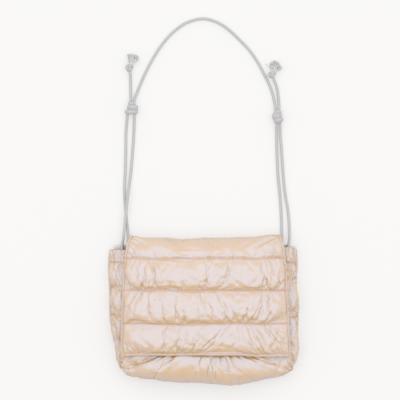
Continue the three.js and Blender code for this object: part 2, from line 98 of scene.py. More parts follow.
def colour_mix(tree, factor, low, high, target):
    """A colour that runs from low to high with factor, led into target. Returns its low socket."""
    mix = tree.nodes.new("ShaderNodeMix")
    mix.data_type = "RGBA"
    low_socket, high_socket = [socket for socket in mix.inputs if socket.type == "RGBA"]
    low_socket.default_value = low
    high_socket.default_value = high
    tree.links.new(factor, mix.inputs["Factor"])
    tree.links.new(next(socket for socket in mix.outputs if socket.type == "RGBA"), target)
    return low_socket


half_floor = FLOOR_SIZE / 2
floor_mesh = bpy.data.meshes.new("floor")
floor_corners = [(-half_floor, -half_floor, 0), (half_floor, -half_floor, 0),
                 (half_floor, half_floor, 0), (-half_floor, half_floor, 0)]
floor_mesh.from_pydata(floor_corners, [], [(0, 1, 2, 3)])
floor = new_object("floor", floor_mesh)
floor_paper, floor_shader, _ = new_material("floor_paper")
floor_shader.inputs["Base Color"].default_value = FLOOR_COLOUR
floor_shader.inputs["Emission Color"].default_value = (1, 1, 1, 1)
floor_shader.inputs["Emission Strength"].default_value = FLOOR_GLOW
floor_shader.inputs["Roughness"].default_value = FLOOR_ROUGHNESS
floor_shader.inputs["Specular IOR Level"].default_value = FLOOR_SHINE
floor_mesh.materials.append(floor_paper)

softbox_data = bpy.data.lights.new("softbox", "AREA")
softbox_data.shape = "RECTANGLE"
softbox_data.size = SOFTBOX_WIDTH
softbox_data.size_y = SOFTBOX_LENGTH
softbox_data.energy = SOFTBOX_RADIANCE * math.pi * SOFTBOX_WIDTH * SOFTBOX_LENGTH
softbox = new_object("softbox", softbox_data)
softbox.location = (VIEW_CENTRE[0], VIEW_CENTRE[1] + SOFTBOX_SHIFT, SOFTBOX_HEIGHT)

room = bpy.data.worlds.new("room")
room.use_nodes = True
room_tree = room.node_tree
direction = room_tree.nodes.new("ShaderNodeTexCoord")
split = room_tree.nodes.new("ShaderNodeSeparateXYZ")
sideways = math_node(room_tree, "ABSOLUTE")
brightness = math_node(room_tree, "MULTIPLY_ADD", ROOM_TOP_SHARE)
spread = room_tree.nodes.new("ShaderNodeMapRange")
spread.inputs["From Min"].default_value = -ROOM_TOP_SHARE
spread.inputs["From Max"].default_value = 1.0
wire(room_tree,
     (direction, "Generated", split, "Vector"),
     (split, "X", sideways, 0),
     (split, "Y", brightness, 0),
     (sideways, "Value", brightness, 2),
     (brightness, "Value", spread, "Value"))
background = room_tree.nodes["Background"]
colour_mix(room_tree, spread.outputs["Result"], ROOM_DARK, ROOM_BRIGHT, background.inputs["Color"])
bpy.context.scene.world = room

camera_data = bpy.data.cameras.new("camera")
camera_data.sensor_width = SENSOR_WIDTH
camera_data.lens = SENSOR_WIDTH * CAMERA_DISTANCE / VIEW_WIDTH
camera_data.clip_end = VIEW_DEPTH
camera = new_object("camera", camera_data)
camera.location = (VIEW_CENTRE[0], VIEW_CENTRE[1], VIEW_LEVEL + CAMERA_DISTANCE)
bpy.context.scene.camera = camera
bpy.context.scene.view_settings.view_transform = "Standard"

# Back panel
# The side that lies against the wearer: two layers of light nylon over wadding, quilted in four
# channels, cut to the bag's outline and pressed flat by the bag's weight on the surface.
BACK_PAD = 0.007
BACK_LINE_LIFT = 0.0028
BACK_BOTTOM_INSET = 0.0015
BACK_SIDE_INSET = 0.0006
BACK_WIDTH = 0.28
BACK_CHANNEL = 0.048
BACK_CHANNELS = 4
BACK_STEP = 0.003
BACK_CLOTH = {"slack": 0.05, "pressure": 2.0, "reach": 0.006}
SEAM_WALL = 0.0026
# How far the thread tint and painted seam shade reach beside a sewn line.
SEAM_SHADE_REACH = 0.0013
RIM = 0.0008
FULL_TURN = 6.28
WAVER_OCTAVES = (0.6, 1.0, 1.7)
CLOTH_SCALE = 10.0
CLOTH_FRAMES = 22
CLOTH_DRAWN_IN = 9
CLOTH_UNEVEN = 0.0005
CLOTH_STIFFNESS = 0.01
CLOTH = {"mass": 0.002, "quality": 5, "tension_stiffness": 20, "compression_stiffness": 20,
         "shear_stiffness": 5, "air_damping": 2.0}
# y, left, right
SIDE_LINES = np.array([
    (-0.079, -0.124, 0.131), (-0.060, -0.1264, 0.137), (-0.040, -0.132, 0.1386),
    (-0.020, -0.137, 0.1396), (0.0, -0.138, 0.1396), (0.027, -0.1382, 0.137),
    (0.068, -0.1396, 0.1386), (0.092, -0.1365, 0.137),
])
# share across the width, y
BACK_TOP_LINE = np.array([
    (0.0, 0.0856), (0.03, 0.0868), (0.08, 0.0885), (0.115, 0.0912), (0.5, 0.0915), (0.885, 0.0915),
    (0.93, 0.0888), (0.97, 0.0885), (1.0, 0.0865),
])
# share across the width, y
BOTTOM_LINE = np.array([
    (0.0, -0.0850), (0.018, -0.0908), (0.055, -0.0974), (0.14, -0.1023), (0.35, -0.1056), (0.6, -0.1076),
    (0.73, -0.1072), (0.865, -0.1023), (0.935, -0.0980), (0.972, -0.0938), (1.0, -0.0888),
])
SHELL_PEACH = (0.94, 0.612, 0.258, 1)
SHELL_PINK = (0.94, 0.597, 0.268, 1)
# Thread tint and painted shade of the seams' dips: the shell's colour along its sewn lines.
SHELL_SEAM_AND_SHADE = (0.84, 0.44, 0.10, 1)
SHELL_PEARL = (0.0, 0.42, 1.0, 1)
SHELL_ROUGHNESS = 0.22
SEAM_ROUGHNESS = 0.5
SHELL_IOR = 2.29
LINING_GREY = (0.70, 0.70, 0.72, 1)
LINING_DUSK = (0.60, 0.60, 0.63, 1)
LINING_ROUGHNESS = 0.6
CREASE_SCALE = 150.0
CREASE_HEIGHT = 0.00016
CREASE_DETAIL = 3.0
CREASE_SHARPNESS = 0.45
WEAVE_SCALE = 900.0
WEAVE_HEIGHT = 0.00003
MOTTLE_SCALE = 45.0


def hermite(start, leave, end, arrive, t):
    """Smooth curve between two values that leaves and arrives at given rates."""
    return (start * (2 * t ** 3 - 3 * t ** 2 + 1) + leave * (t ** 3 - 2 * t ** 2 + t)
            + end * (3 * t ** 2 - 2 * t ** 3) + arrive * (t ** 3 - t ** 2))


def along(table, at):
    """Smooth values of a table's other columns at places in its first column."""
    last = len(table) - 1
    place = np.clip(at, table[0, 0], table[last, 0])
    i = np.clip(np.searchsorted(table[:, 0], place, side="right") - 1, 0, last - 1)
    before = table[np.maximum(i - 1, 0)]
    here = table[i]
    following = table[i + 1]
    after = table[np.minimum(i + 2, last)]
    span = following[..., :1] - here[..., :1]
    t = (place[..., None] - here[..., :1]) / span
    leave = span * (following - before) / (following[..., :1] - before[..., :1])
    arrive = span * (after - here) / (after[..., :1] - here[..., :1])
    value = hermite(here, leave, following, arrive, t)
    return np.moveaxis(value[..., 1:], -1, 0)


def between(low, high, share):
    return low + (high - low) * share


def grid(x, y, z):
    """Grid of points from its coordinates, of which some may be the same all over."""
    return np.stack(np.broadcast_arrays(x, y, z), axis=-1)


def run_length(path):
    """Distance along a path at each of its points."""
    return np.concatenate([[0], np.cumsum(np.linalg.norm(np.diff(path, axis=0), axis=-1))])


def normals(sheet):
    """Unit normals of a grid of points whose rows run down and columns run right."""
    across = np.gradient(sheet, axis=1)
    down = np.gradient(sheet, axis=0)
    facing = np.cross(down, across)
    return facing / np.linalg.norm(facing, axis=-1, keepdims=True)


def waver(at, length, height, seed):
    """A wandering line of about that wave length and height, as of hand-guided sewing."""
    rng = np.random.default_rng(seed)
    value = np.zeros_like(at)
    for octave in WAVER_OCTAVES:
        value = value + np.sin(2 * math.pi * at * octave / length + rng.uniform(0, FULL_TURN))
    return height * value / 2


def quads(rows, columns):
    corner = np.arange(rows * columns).reshape(rows, columns)
    sides = [corner[:-1, :-1], corner[1:, :-1], corner[1:, 1:], corner[:-1, 1:]]
    return np.stack(sides, axis=-1).reshape(-1, 4)


def inflate(cut, sewn, held, seed, slack, pressure, reach, stiffness=CLOTH_STIFFNESS, slump=0.0):
    """Cloth simulation of a quilted sheet: it starts as it was cut, is drawn in along its sewn
    points while its filling blows it out, and moves no further than reach from its sewn shape.
    slump is how far the filling slips down its channel for each unit that it stands out."""
    rng = np.random.default_rng(seed)
    start = cut * CLOTH_SCALE + rng.normal(0, CLOTH_UNEVEN, cut.shape) * ~held[..., None]
    mesh = bpy.data.meshes.new("cloth")
    mesh.from_pydata(start.reshape(-1, 3).tolist(), [], quads(*held.shape).tolist())
    cloth = new_object("cloth", mesh)
    cloth.shape_key_add(name="cut")
    gathered = cloth.shape_key_add(name="gathered")
    gathered.data.foreach_set("co", (sewn * CLOTH_SCALE).ravel())
    gathered.value = 0.0
    gathered.keyframe_insert("value", frame=1)
    gathered.value = 1.0
    gathered.keyframe_insert("value", frame=CLOTH_DRAWN_IN)
    stitched = cloth.vertex_groups.new(name="stitched")
    stitched.add(np.flatnonzero(held.ravel()).tolist(), 1.0, "REPLACE")
    modifier = cloth.modifiers.new("cloth", "CLOTH")
    settings = modifier.settings
    settings.vertex_group_mass = "stitched"
    settings.shrink_min = -slack
    settings.bending_stiffness = stiffness
    settings.use_pressure = True
    settings.uniform_pressure_force = pressure
    settings.effector_weights.gravity = 0
    for name, value in CLOTH.items():
        setattr(settings, name, value)
    modifier.collision_settings.use_collision = False
    modifier.point_cache.frame_start = 1
    modifier.point_cache.frame_end = CLOTH_FRAMES
    for number in range(1, CLOTH_FRAMES + 1):
        bpy.context.scene.frame_set(number)
    settled = cloth.evaluated_get(bpy.context.evaluated_depsgraph_get()).data
    flat = np.empty(len(settled.vertices) * 3)
    settled.vertices.foreach_get("co", flat)
    move = flat.reshape(sewn.shape) / CLOTH_SCALE - sewn
    distance = np.linalg.norm(move, axis=-1, keepdims=True)
    move *= np.minimum(1.0, reach / np.maximum(distance, 1e-9))
    facing = normals(sewn)
    outwards = np.sum(move * facing, axis=-1, keepdims=True)
    move += facing * np.maximum(0, -outwards - SEAM_WALL / 2)
    move[..., 1] -= slump * np.maximum(0, outwards[..., 0])
    bpy.data.objects.remove(cloth)
    bpy.data.meshes.remove(mesh)
    bpy.context.scene.frame_set(1)
    return sewn + move


def edge_walk(rows, columns):
    """Rows and columns of a grid's edge points, going round it once."""
    top = [(0, c) for c in range(columns)]
    right = [(r, columns - 1) for r in range(1, rows)]
    bottom = [(rows - 1, c) for c in range(columns - 2, -1, -1)]
    left = [(r, 0) for r in range(rows - 2, 0, -1)]
    return np.array(top + right + bottom + left).T


def finish_mesh(mesh, flat, layer):
    """Smooth shading, and a UV layer from each point's flat coordinates."""
    mesh.polygons.foreach_set("use_smooth", np.ones(len(mesh.polygons), dtype=bool))
    vertex_of_loop = np.empty(len(mesh.loops), dtype=np.int32)
    mesh.loops.foreach_get("vertex_index", vertex_of_loop)
    uv = mesh.uv_layers.new(name=layer)
    uv.data.foreach_set("uv", flat[vertex_of_loop].ravel())


def quilted(name, outer, inner, cut, seam, materials, turned=False):
    """Closed mesh of a padded panel from its outer and inner cloth, with a rounded rim. cut holds
    the sheet's flat coordinates, and seam is 1 on its sewn lines, where the shell takes thread tint
    and painted shade of the seam's dip."""
    rows, columns = outer.shape[:2]
    count = rows * columns
    r, c = edge_walk(rows, columns)
    r_in = np.clip(r, 1, rows - 2)
    c_in = np.clip(c, 1, columns - 2)
    middle = (outer + inner) / 2
    away = middle[r, c] - middle[r_in, c_in]
    away /= np.linalg.norm(away, axis=-1, keepdims=True)
    rim = middle[r, c] + RIM * away
    points = np.concatenate([outer.reshape(-1, 3), inner.reshape(-1, 3), rim])
    faces = quads(rows, columns)
    ring = np.arange(len(r))
    following = np.roll(ring, -1)
    edge = r * columns + c
    outer_rim = np.stack([edge, edge[following], 2 * count + following, 2 * count + ring], axis=-1)
    inner_rim = np.stack([2 * count + ring, 2 * count + following, count + edge[following],
                          count + edge], axis=-1)
    everything = np.concatenate([faces, outer_rim, inner_rim, faces[:, ::-1] + count])
    if turned:
        everything = everything[:, ::-1]
    mesh = bpy.data.meshes.new(name)
    mesh.from_pydata(points.tolist(), [], everything.tolist())
    lined = np.zeros(len(everything), dtype=np.int32)
    lined[-len(faces):] = len(materials) - 1
    for material in materials:
        mesh.materials.append(material)
    mesh.polygons.foreach_set("material_index", lined)
    finish_mesh(mesh, np.concatenate([cut.reshape(-1, 2), cut.reshape(-1, 2), cut[r, c]]), "cut")
    # The sewn mask: rougher cloth, thread tint and painted seam shade in the shell.
    sewn = mesh.attributes.new("sewn", "FLOAT", "POINT")
    strength = np.concatenate([seam.ravel(), np.zeros(count), seam[r, c]])
    sewn.data.foreach_set("value", strength)
    mesh.validate()
    return new_object(name, mesh)


def flat_cut(sheet):
    """Flat coordinates of a sheet's points, measured along its middle row and column."""
    across = run_length(sheet[sheet.shape[0] // 2])
    down = run_length(sheet[:, sheet.shape[1] // 2])
    return np.stack(np.meshgrid(across, -down), axis=-1)


def near_lines(cut, lines_down):
    """1 on the given sewn lines of a flat cut, fading to 0 beside them."""
    value = np.zeros(cut.shape[:2])
    for line in lines_down:
        value = np.maximum(value, np.exp(-((cut[..., 1] - line) / SEAM_SHADE_REACH) ** 2))
    return value


def crinkle_group():
    """Fine creases and thread weave of light nylon as one height in metres, and its mottle."""
    group = bpy.data.node_groups.new("nylon_crinkle", "ShaderNodeTree")
    ports = group.interface
    sizes = (("Crease Scale", CREASE_SCALE), ("Crease Height", CREASE_HEIGHT),
             ("Weave Height", WEAVE_HEIGHT))
    for port, value in sizes:
        ports.new_socket(port, in_out="INPUT", socket_type="NodeSocketFloat").default_value = value
    for port in ("Height", "Mottle"):
        ports.new_socket(port, in_out="OUTPUT", socket_type="NodeSocketFloat")
    nodes = group.nodes
    entry = nodes.new("NodeGroupInput")
    leave = nodes.new("NodeGroupOutput")
    place = nodes.new("ShaderNodeTexCoord")
    creases = nodes.new("ShaderNodeTexNoise")
    creases.noise_type = "RIDGED_MULTIFRACTAL"
    creases.inputs["Detail"].default_value = CREASE_DETAIL
    creases.inputs["Roughness"].default_value = CREASE_SHARPNESS
    mottle = nodes.new("ShaderNodeTexNoise")
    mottle.inputs["Scale"].default_value = MOTTLE_SCALE
    crossing = math_node(group, "MAXIMUM")
    for socket, turn in enumerate(("X", "Y")):
        threads = nodes.new("ShaderNodeTexWave")
        threads.bands_direction = turn
        threads.inputs["Scale"].default_value = WEAVE_SCALE
        wire(group, (place, "UV", threads, "Vector"), (threads, "Fac", crossing, socket))
    fine = math_node(group, "MULTIPLY")
    height = math_node(group, "MULTIPLY_ADD")
    wire(group,
         (place, "Object", creases, "Vector"),
         (entry, "Crease Scale", creases, "Scale"),
         (place, "Object", mottle, "Vector"),
         (crossing, "Value", fine, 0),
         (entry, "Weave Height", fine, 1),
         (creases, "Fac", height, 0),
         (entry, "Crease Height", height, 1),
         (fine, "Value", height, 2),
         (height, "Value", leave, "Height"),
         (mottle, "Fac", leave, "Mottle"))
    return group


def crinkled(tree, shader):
    """The nylon's creases and weave on a shader's normal. Returns the group's mottle."""
    crinkle = tree.nodes.new("ShaderNodeGroup")
    crinkle.node_tree = nylon_crinkle
    bump = tree.nodes.new("ShaderNodeBump")
    bump.inputs["Distance"].default_value = 1.0
    wire(tree, (crinkle, "Height", bump, "Height"), (bump, "Normal", shader, "Normal"))
    return crinkle.outputs["Mottle"]


nylon_crinkle = crinkle_group()
shell_cloth, shell_shader, shell_tree = new_material("pearl_nylon")
# Along the sewn lines the colour runs to a darker tan: part thread tint, part painted shade of the seam
# dips.
seam_shade_mark = shell_tree.nodes.new("ShaderNodeAttribute")
seam_shade_mark.attribute_name = "sewn"
seam_nap = math_node(shell_tree, "MULTIPLY_ADD", SEAM_ROUGHNESS - SHELL_ROUGHNESS, SHELL_ROUGHNESS)
wire(shell_tree, (seam_shade_mark, "Fac", seam_nap, 0), (seam_nap, "Value", shell_shader, "Roughness"))
unsewn = colour_mix(shell_tree, seam_shade_mark.outputs["Fac"], SHELL_PEACH, SHELL_SEAM_AND_SHADE,
                    shell_shader.inputs["Base Color"])
colour_mix(shell_tree, crinkled(shell_tree, shell_shader), SHELL_PEACH, SHELL_PINK, unsewn)
shell_shader.inputs["IOR"].default_value = SHELL_IOR
shell_shader.inputs["Specular IOR Level"].default_value = 1.0
shell_shader.inputs["Specular Tint"].default_value = SHELL_PEARL

lining_cloth, lining_shader, lining_tree = new_material("lining_cloth")
colour_mix(lining_tree, crinkled(lining_tree, lining_shader), LINING_DUSK, LINING_GREY,
           lining_shader.inputs["Base Color"])
lining_shader.inputs["Roughness"].default_value = LINING_ROUGHNESS

back_columns = round(BACK_WIDTH / BACK_STEP) + 1
channel_rows = round(BACK_CHANNEL / BACK_STEP)
back_rows = BACK_CHANNELS * channel_rows + 1
share, fall = np.meshgrid(np.linspace(0, 1, back_columns), np.linspace(0, 1, back_rows))
back_y = between(along(BACK_TOP_LINE, share)[0], along(BOTTOM_LINE, share)[0] + BACK_BOTTOM_INSET, fall)
back_left, back_right = along(SIDE_LINES, back_y)
back_x = between(back_left + BACK_SIDE_INSET, back_right - BACK_SIDE_INSET, share)
back_under = grid(back_x, back_y, BACK_LINE_LIFT)
back_inner = grid(back_x, back_y, BACK_PAD)
back_held = np.zeros(back_x.shape, dtype=bool)
back_held[::channel_rows] = True
back_held[:, [0, -1]] = True
back_cut = flat_cut(back_under)
# Where the shell takes thread tint and painted shade along the quilting lines.
back_seam_shade = near_lines(back_cut, back_cut[::channel_rows, 0, 1])
back_turned = back_under[:, ::-1]
back_under = inflate(back_turned, back_turned, back_held, seed=11, **BACK_CLOTH)[:, ::-1]
back_under[..., 2] = np.maximum(back_under[..., 2], 0.0)
back_panel = quilted("back_panel_quilt", back_under, back_inner, back_cut, back_seam_shade,
                     [shell_cloth, lining_cloth], turned=True)
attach(back_panel, "root")
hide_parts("back_panel")

# Front panel
# The padded front, quilted in rows that the flap covers, and brought round the bag's bottom in one
# deep loose channel that is sewn to the back panel's lower edge.
FRONT_PAD = 0.008
FRONT_PUFF = 0.0050
BOTTOM_PUFF = 0.0066
FRONT_CROWN = 0.8
FRONT_SEAM_LEVEL = 0.008
FRONT_TURN = 3
SIDE_FALL = 0.4
SIDE_FALL_POWER = 2.5
MOUTH_SLANT = 0.002
BOTTOM_REACH = -0.1076
SEAM_LEVEL = 0.0074
FRONT_WIDTH = 0.245
FRONT_CLOTH = {"slack": 0.01, "pressure": 1.0, "reach": 0.013, "stiffness": 0.015}
FRONT_GATHER = 0.085
# line, share of the gathers
FRONT_GATHER_FADE = ((4, 4.5, 4.85), (1, 0.9, 0))
# line, depth of the sewn cloth below the panel's surface
FRONT_SEWN_DEPTH = ((0, 4, 4.35, 5), (FRONT_PAD - SEAM_WALL, FRONT_PAD - SEAM_WALL, 0.004, 0.001))
# line, depth of the lining below the panel's surface
FRONT_LINING_DEPTH = ((0, 4.8, 5), (FRONT_PAD, FRONT_PAD, SEAM_WALL))
# line, y, z, left, right
FRONT_LINES = np.array([
    (0, 0.0885, 0.038, -0.117, 0.122), (1, 0.068, 0.0435, -0.1175, 0.1225),
    (2, 0.028, 0.049, -0.118, 0.123), (3, -0.012, 0.0513, -0.1184, 0.1238),
    (4, -0.059, 0.0445, -0.1188, 0.125), (4.25, -0.077, 0.0458, -0.1196, 0.1264),
    (4.5, -0.096, 0.038, -0.1214, 0.1284), (4.7, -0.106, 0.027, -0.123, 0.1302),
    (4.87, -0.109, 0.0165, -0.1238, 0.131), (5, -0.1063, 0.008, -0.123, 0.130),
])
FRONT_SEWN_LINES = (0, 1, 2, 3, 4, 5)
BOTTOM_START = 4
FRONT_COLUMNS = 181
# from line, to line, rows
FRONT_ROWS = ((0, 1, 7), (1, 2, 10), (2, 3, 10), (3, 4, 22), (4, 5, 64))
FRONT_SLIP_LENGTH = 0.095
FRONT_PUCKER_LENGTH = 0.021
# line, drift, pucker
FRONT_SEWING = ((0, 0, 0), (1, 0.001, 0.00025), (2, 0.001, 0.00025), (3, 0.001, 0.00025),
                (4, 0.0042, 0.00105), (5, 0, 0))
FOLD_SIZE = 0.016
FOLD_HEIGHT = 0.0010
FOLD_CROWN = 0.7
BOTTOM_FOLD_SIZE = 0.027
BOTTOM_FOLD_HEIGHT = 0.0015
FOLD_LEANS = (0.7, 2.35, 1.1, 2.8)
FOLD_LEAN_SPREAD = 0.15
FOLD_BENDS = (1.3, -0.9)
FOLD_PATCHES = (2, 2.7)
FOLD_PATCH_LEVEL = 0.5
FOLD_PATCH_CONTRAST = 0.8


def side_share(x, left, right):
    """How much of the front's height is left at a place across it."""
    return 1 - SIDE_FALL * np.abs(2 * (x - left) / (right - left) - 1) ** SIDE_FALL_POWER


def front_base(across, line):
    """Points on the front's surface without its channels."""
    y, z, left, right = along(FRONT_LINES, line)
    x = between(left, right, across)
    turn = FRONT_LINES[FRONT_TURN, 1]
    reach = along(BOTTOM_LINE, across)[0]
    bent = turn + (y - turn) * (reach - turn) / (BOTTOM_REACH - turn)
    y = np.where(line > FRONT_TURN, bent, y)
    y = y + np.maximum(0, 1 - line) * between(-MOUTH_SLANT, MOUTH_SLANT, across)
    share = side_share(x, left, right)
    return grid(x, y, FRONT_SEAM_LEVEL + (z - FRONT_SEAM_LEVEL) * share)


def runs(*stretches):
    """Line numbers of a sheet's rows, from the start, end and count of each stretch."""
    rows = [np.linspace(start, end, count, endpoint=False) for start, end, count in stretches]
    return np.concatenate(rows + [[stretches[-1][1]]])


def rows_at(lines, sewn_lines):
    """Numbers of the rows that lie on sewn lines."""
    return [int(np.argmin(np.abs(lines - k))) for k in sewn_lines]


def slip(share, line, sewing, width, slip_length, pucker_length, seed):
    """How far the cloth slipped under the needle on each sewn line, in shares of width: long
    drifts and short puckers."""
    place = share[0] * width
    offsets = []
    for k, (_, drift, pucker) in enumerate(sewing):
        long_waves = waver(place, slip_length, drift, seed + k)
        offsets.append(long_waves + waver(place, pucker_length, pucker, seed + 100 + k))
    sewn_lines = [row[0] for row in sewing]
    columns = [np.interp(line[:, 0], sewn_lines, column) for column in np.array(offsets).T]
    return np.array(columns).T / width


def crown(line, sewn_lines, power):
    """1 in the middle between two sewn lines, 0 on them."""
    k = np.clip(np.searchsorted(sewn_lines, line, side="right") - 1, 0, len(sewn_lines) - 2)
    low = np.take(sewn_lines, k)
    high = np.take(sewn_lines, k + 1)
    return np.sin(math.pi * np.clip((line - low) / (high - low), 0, 1)) ** power


def crumple(cut, size, height, seed):
    """Angular dents of light nylon over loose wadding, as heights on a flat cut: patches of sharp
    folds in a few leaning directions."""
    rng = np.random.default_rng(seed)
    x, y = np.moveaxis(cut, -1, 0) / size
    total = np.zeros_like(x)
    for lean in FOLD_LEANS:
        turn = lean + rng.normal(0, FOLD_LEAN_SPREAD)
        start, bend, beside, below = rng.uniform(0, 2 * math.pi, 4)
        ahead = x * math.cos(turn) + y * math.sin(turn)
        bending = np.sin(FOLD_BENDS[0] * x + FOLD_BENDS[1] * y + bend)
        folds = np.abs(np.sin(math.pi * ahead + start + bending))
        patch = np.sin(FOLD_PATCHES[0] * x + beside) * np.sin(FOLD_PATCHES[1] * y + below)
        total += np.clip(FOLD_PATCH_LEVEL + FOLD_PATCH_CONTRAST * patch, 0, 1) * folds
    return height * total


def raised(sheet, height):
    """A sheet whose points are moved out along their normals."""
    return sheet + normals(sheet) * np.asarray(height)[..., None]


front_lines = runs(*FRONT_ROWS)
share, line = np.meshgrid(np.linspace(0, 1, FRONT_COLUMNS), front_lines)
front_depth = np.interp(line, *FRONT_SEWN_DEPTH)
front_surface = front_base(share, line)
front_sewn = raised(front_surface, -front_depth)
front_inner = raised(front_surface, -np.interp(line, *FRONT_LINING_DEPTH))
front_sewn[-1, :, 2] = SEAM_LEVEL
front_inner[-1, :, 2] = SEAM_LEVEL
front_held = np.isin(line, FRONT_SEWN_LINES)
front_held[:, [0, -1]] = True
front_wide = 0.5 + (share - 0.5) * (1 + FRONT_GATHER * np.interp(line, *FRONT_GATHER_FADE))
front_wide += slip(share, line, FRONT_SEWING, FRONT_WIDTH, FRONT_SLIP_LENGTH, FRONT_PUCKER_LENGTH, seed=40)
front_swell = np.where(line < BOTTOM_START, FRONT_PUFF, BOTTOM_PUFF)
front_swell *= crown(line, FRONT_SEWN_LINES, FRONT_CROWN)
front_laid = raised(front_base(front_wide, line), front_swell - front_depth)
front_cut = flat_cut(front_sewn)
front_outer = inflate(front_laid, front_sewn, front_held, seed=5, **FRONT_CLOTH)
front_dents = np.where(line < BOTTOM_START, crumple(front_cut, FOLD_SIZE, FOLD_HEIGHT, seed=15),
                       crumple(front_cut, BOTTOM_FOLD_SIZE, BOTTOM_FOLD_HEIGHT, seed=16))
front_dents *= crown(line, FRONT_SEWN_LINES, FOLD_CROWN)
front_outer = raised(front_outer, front_dents)
# Where the shell takes thread tint and painted shade along the quilting lines.
front_seam_shade = near_lines(front_cut, front_cut[rows_at(front_lines, FRONT_SEWN_LINES[1:-1]), 0, 1])
front_panel = quilted("front_panel_quilt", front_outer, front_inner, front_cut, front_seam_shade,
                      [shell_cloth, lining_cloth])
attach(front_panel, "root")
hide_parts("front_panel")

# Side gussets
# Narrow padded strips that give the bag its depth: each is sewn to the front's side edge and to
# the back panel's edge, and tied across where the quilting lines run out.
GUSSET_END = 4.72
GUSSET_SWELL = 0.0080
GUSSET_GATHER = 0.06
GUSSET_EDGE_INSET = 0.0008
GUSSET_PUCKER = 0.016
GUSSET_SLIP = 0.0013
GUSSET_CLOTH = {"slack": 0.04, "pressure": 1.3, "reach": 0.010}
GUSSET_FOLD_SIZE = 0.014
GUSSET_FOLD_HEIGHT = 0.0005
# y, slant, share of the width that the crease takes up from the front's seam
GUSSET_TIES = {
    "left": ((0.067, 0.001, 1.0), (0.034, -0.003, 1.0), (-0.012, 0.003, 1.0), (-0.050, 0.004, 0.6)),
    "right": ((0.068, -0.002, 1.0), (0.055, 0.001, 0.6), (0.043, 0.002, 1.0), (-0.001, -0.003, 0.7),
              (-0.014, 0.002, 1.0)),
}
# Painted shade in each tie's crease, with its thread tint, mixed into the shell's colour.
TIE_SHADE = 0.9
TIE_SHADE_REACH = 0.0016
GUSSET_OUT = {"left": (-0.62, 0, 0.85), "right": (0.80, 0, 0.85)}
GUSSET_ROWS = 110
GUSSET_COLUMNS = 19


def edge_at(lines, column):
    """Points of one side edge of a front sheet at the given lines."""
    return np.stack([np.interp(lines, front_lines, axis) for axis in column.T], axis=-1)


for side, column in (("left", 0), ("right", -1)):
    inwards = 1 if side == "left" else -1
    line = np.linspace(0, GUSSET_END, GUSSET_ROWS)
    seam_line = edge_at(line, front_sewn[:, column])
    inner_line = edge_at(line, front_inner[:, column])
    edge_x = along(SIDE_LINES, seam_line[:, 1])[column] + inwards * GUSSET_EDGE_INSET
    back_line = grid(edge_x, seam_line[:, 1], SEAM_LEVEL)
    back_inner_line = back_line + np.array([inwards * SEAM_WALL, 0, 0])
    step = np.linspace(0, 1, GUSSET_COLUMNS)[::inwards]
    sewn = between(back_line[:, None], seam_line[:, None], step[None, :, None])
    inside = between(back_inner_line[:, None], inner_line[:, None], step[None, :, None])
    held = np.zeros((GUSSET_ROWS, GUSSET_COLUMNS), dtype=bool)
    held[[0, -1]] = True
    held[:, [0, -1]] = True
    # Painted shade and thread tint along each tie's crease.
    tie_crease_shade = np.zeros(held.shape)
    for tie_y, slant, width in GUSSET_TIES[side]:
        for k in np.flatnonzero(step > 1 - width):
            from_tie = np.abs(seam_line[:, 1] - tie_y - slant * (1 - step[k]))
            held[np.argmin(from_tie), k] = True
            tie_crease_shade[:, k] = np.maximum(tie_crease_shade[:, k], TIE_SHADE * np.exp(-(from_tie / TIE_SHADE_REACH) ** 2))
    arch = np.sin(math.pi * step)
    laid = sewn + arch[None, :, None] * np.array(GUSSET_OUT[side]) * GUSSET_SWELL
    laid[..., 1] += GUSSET_GATHER * (laid[..., 1] - laid[..., 1].mean())
    laid[..., 1] += waver(laid[..., 1], GUSSET_PUCKER, GUSSET_SLIP, seed=31 + column) * step[None, :]
    cut = flat_cut(sewn)
    blown = inflate(laid, sewn, held, seed=21 + column, **GUSSET_CLOTH)
    dents = crumple(cut, GUSSET_FOLD_SIZE, GUSSET_FOLD_HEIGHT, seed=25 + column) * arch
    blown = raised(blown, dents)
    gusset = quilted(f"{side}_gusset_quilt", blown, inside, cut, tie_crease_shade, [shell_cloth, lining_cloth])
    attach(gusset, "root")
    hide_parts(f"{side}_gusset")

# Lining and cord tabs
# Inside the mouth a light grey facing is sewn along the back panel's top edge, and on it at each
# side a doubled tab of the same cloth holds the ends of the cord.
LINING_WALL = 0.0012
LINING_LEVEL = 0.0074
LINING_LOW = 0.046
LINING_ROWS = 24
LINING_COLUMNS = 136
LINING_RIPPLE = 0.0007
LINING_RIPPLE_LENGTH = 0.022
LINING_ROLL = 0.0016
LINING_ROLL_ROWS = 2.2
# x, top edge y
LINING_TOP = np.array([
    (-0.1335, 0.0866), (-0.131, 0.0905), (-0.127, 0.0922), (-0.121, 0.0930), (-0.10, 0.0915), (0.0, 0.0905),
    (0.10, 0.0918), (0.120, 0.0930), (0.1265, 0.0918), (0.1305, 0.0903), (0.1360, 0.0896),
])
TAB_WIDTH = 0.020
TAB_LENGTH = 0.016
TAB_HEIGHT = 0.0056
TAB_LAYER = 0.0004
TAB_FLOOR = 0.0090
TAB_TOP = 0.0722
TAB_MIDDLE = {"left": -0.1146, "right": 0.1184}
TAB_COLUMNS = 25
TAB_ROWS = 21
TAB_SIDE_POWER = 5
TAB_END_POWER = 6
TAB_SEAMS = (0.22, 0.78)
TAB_SEAM_WIDTH = 0.05
TAB_SEAM_DEPTH = 0.18

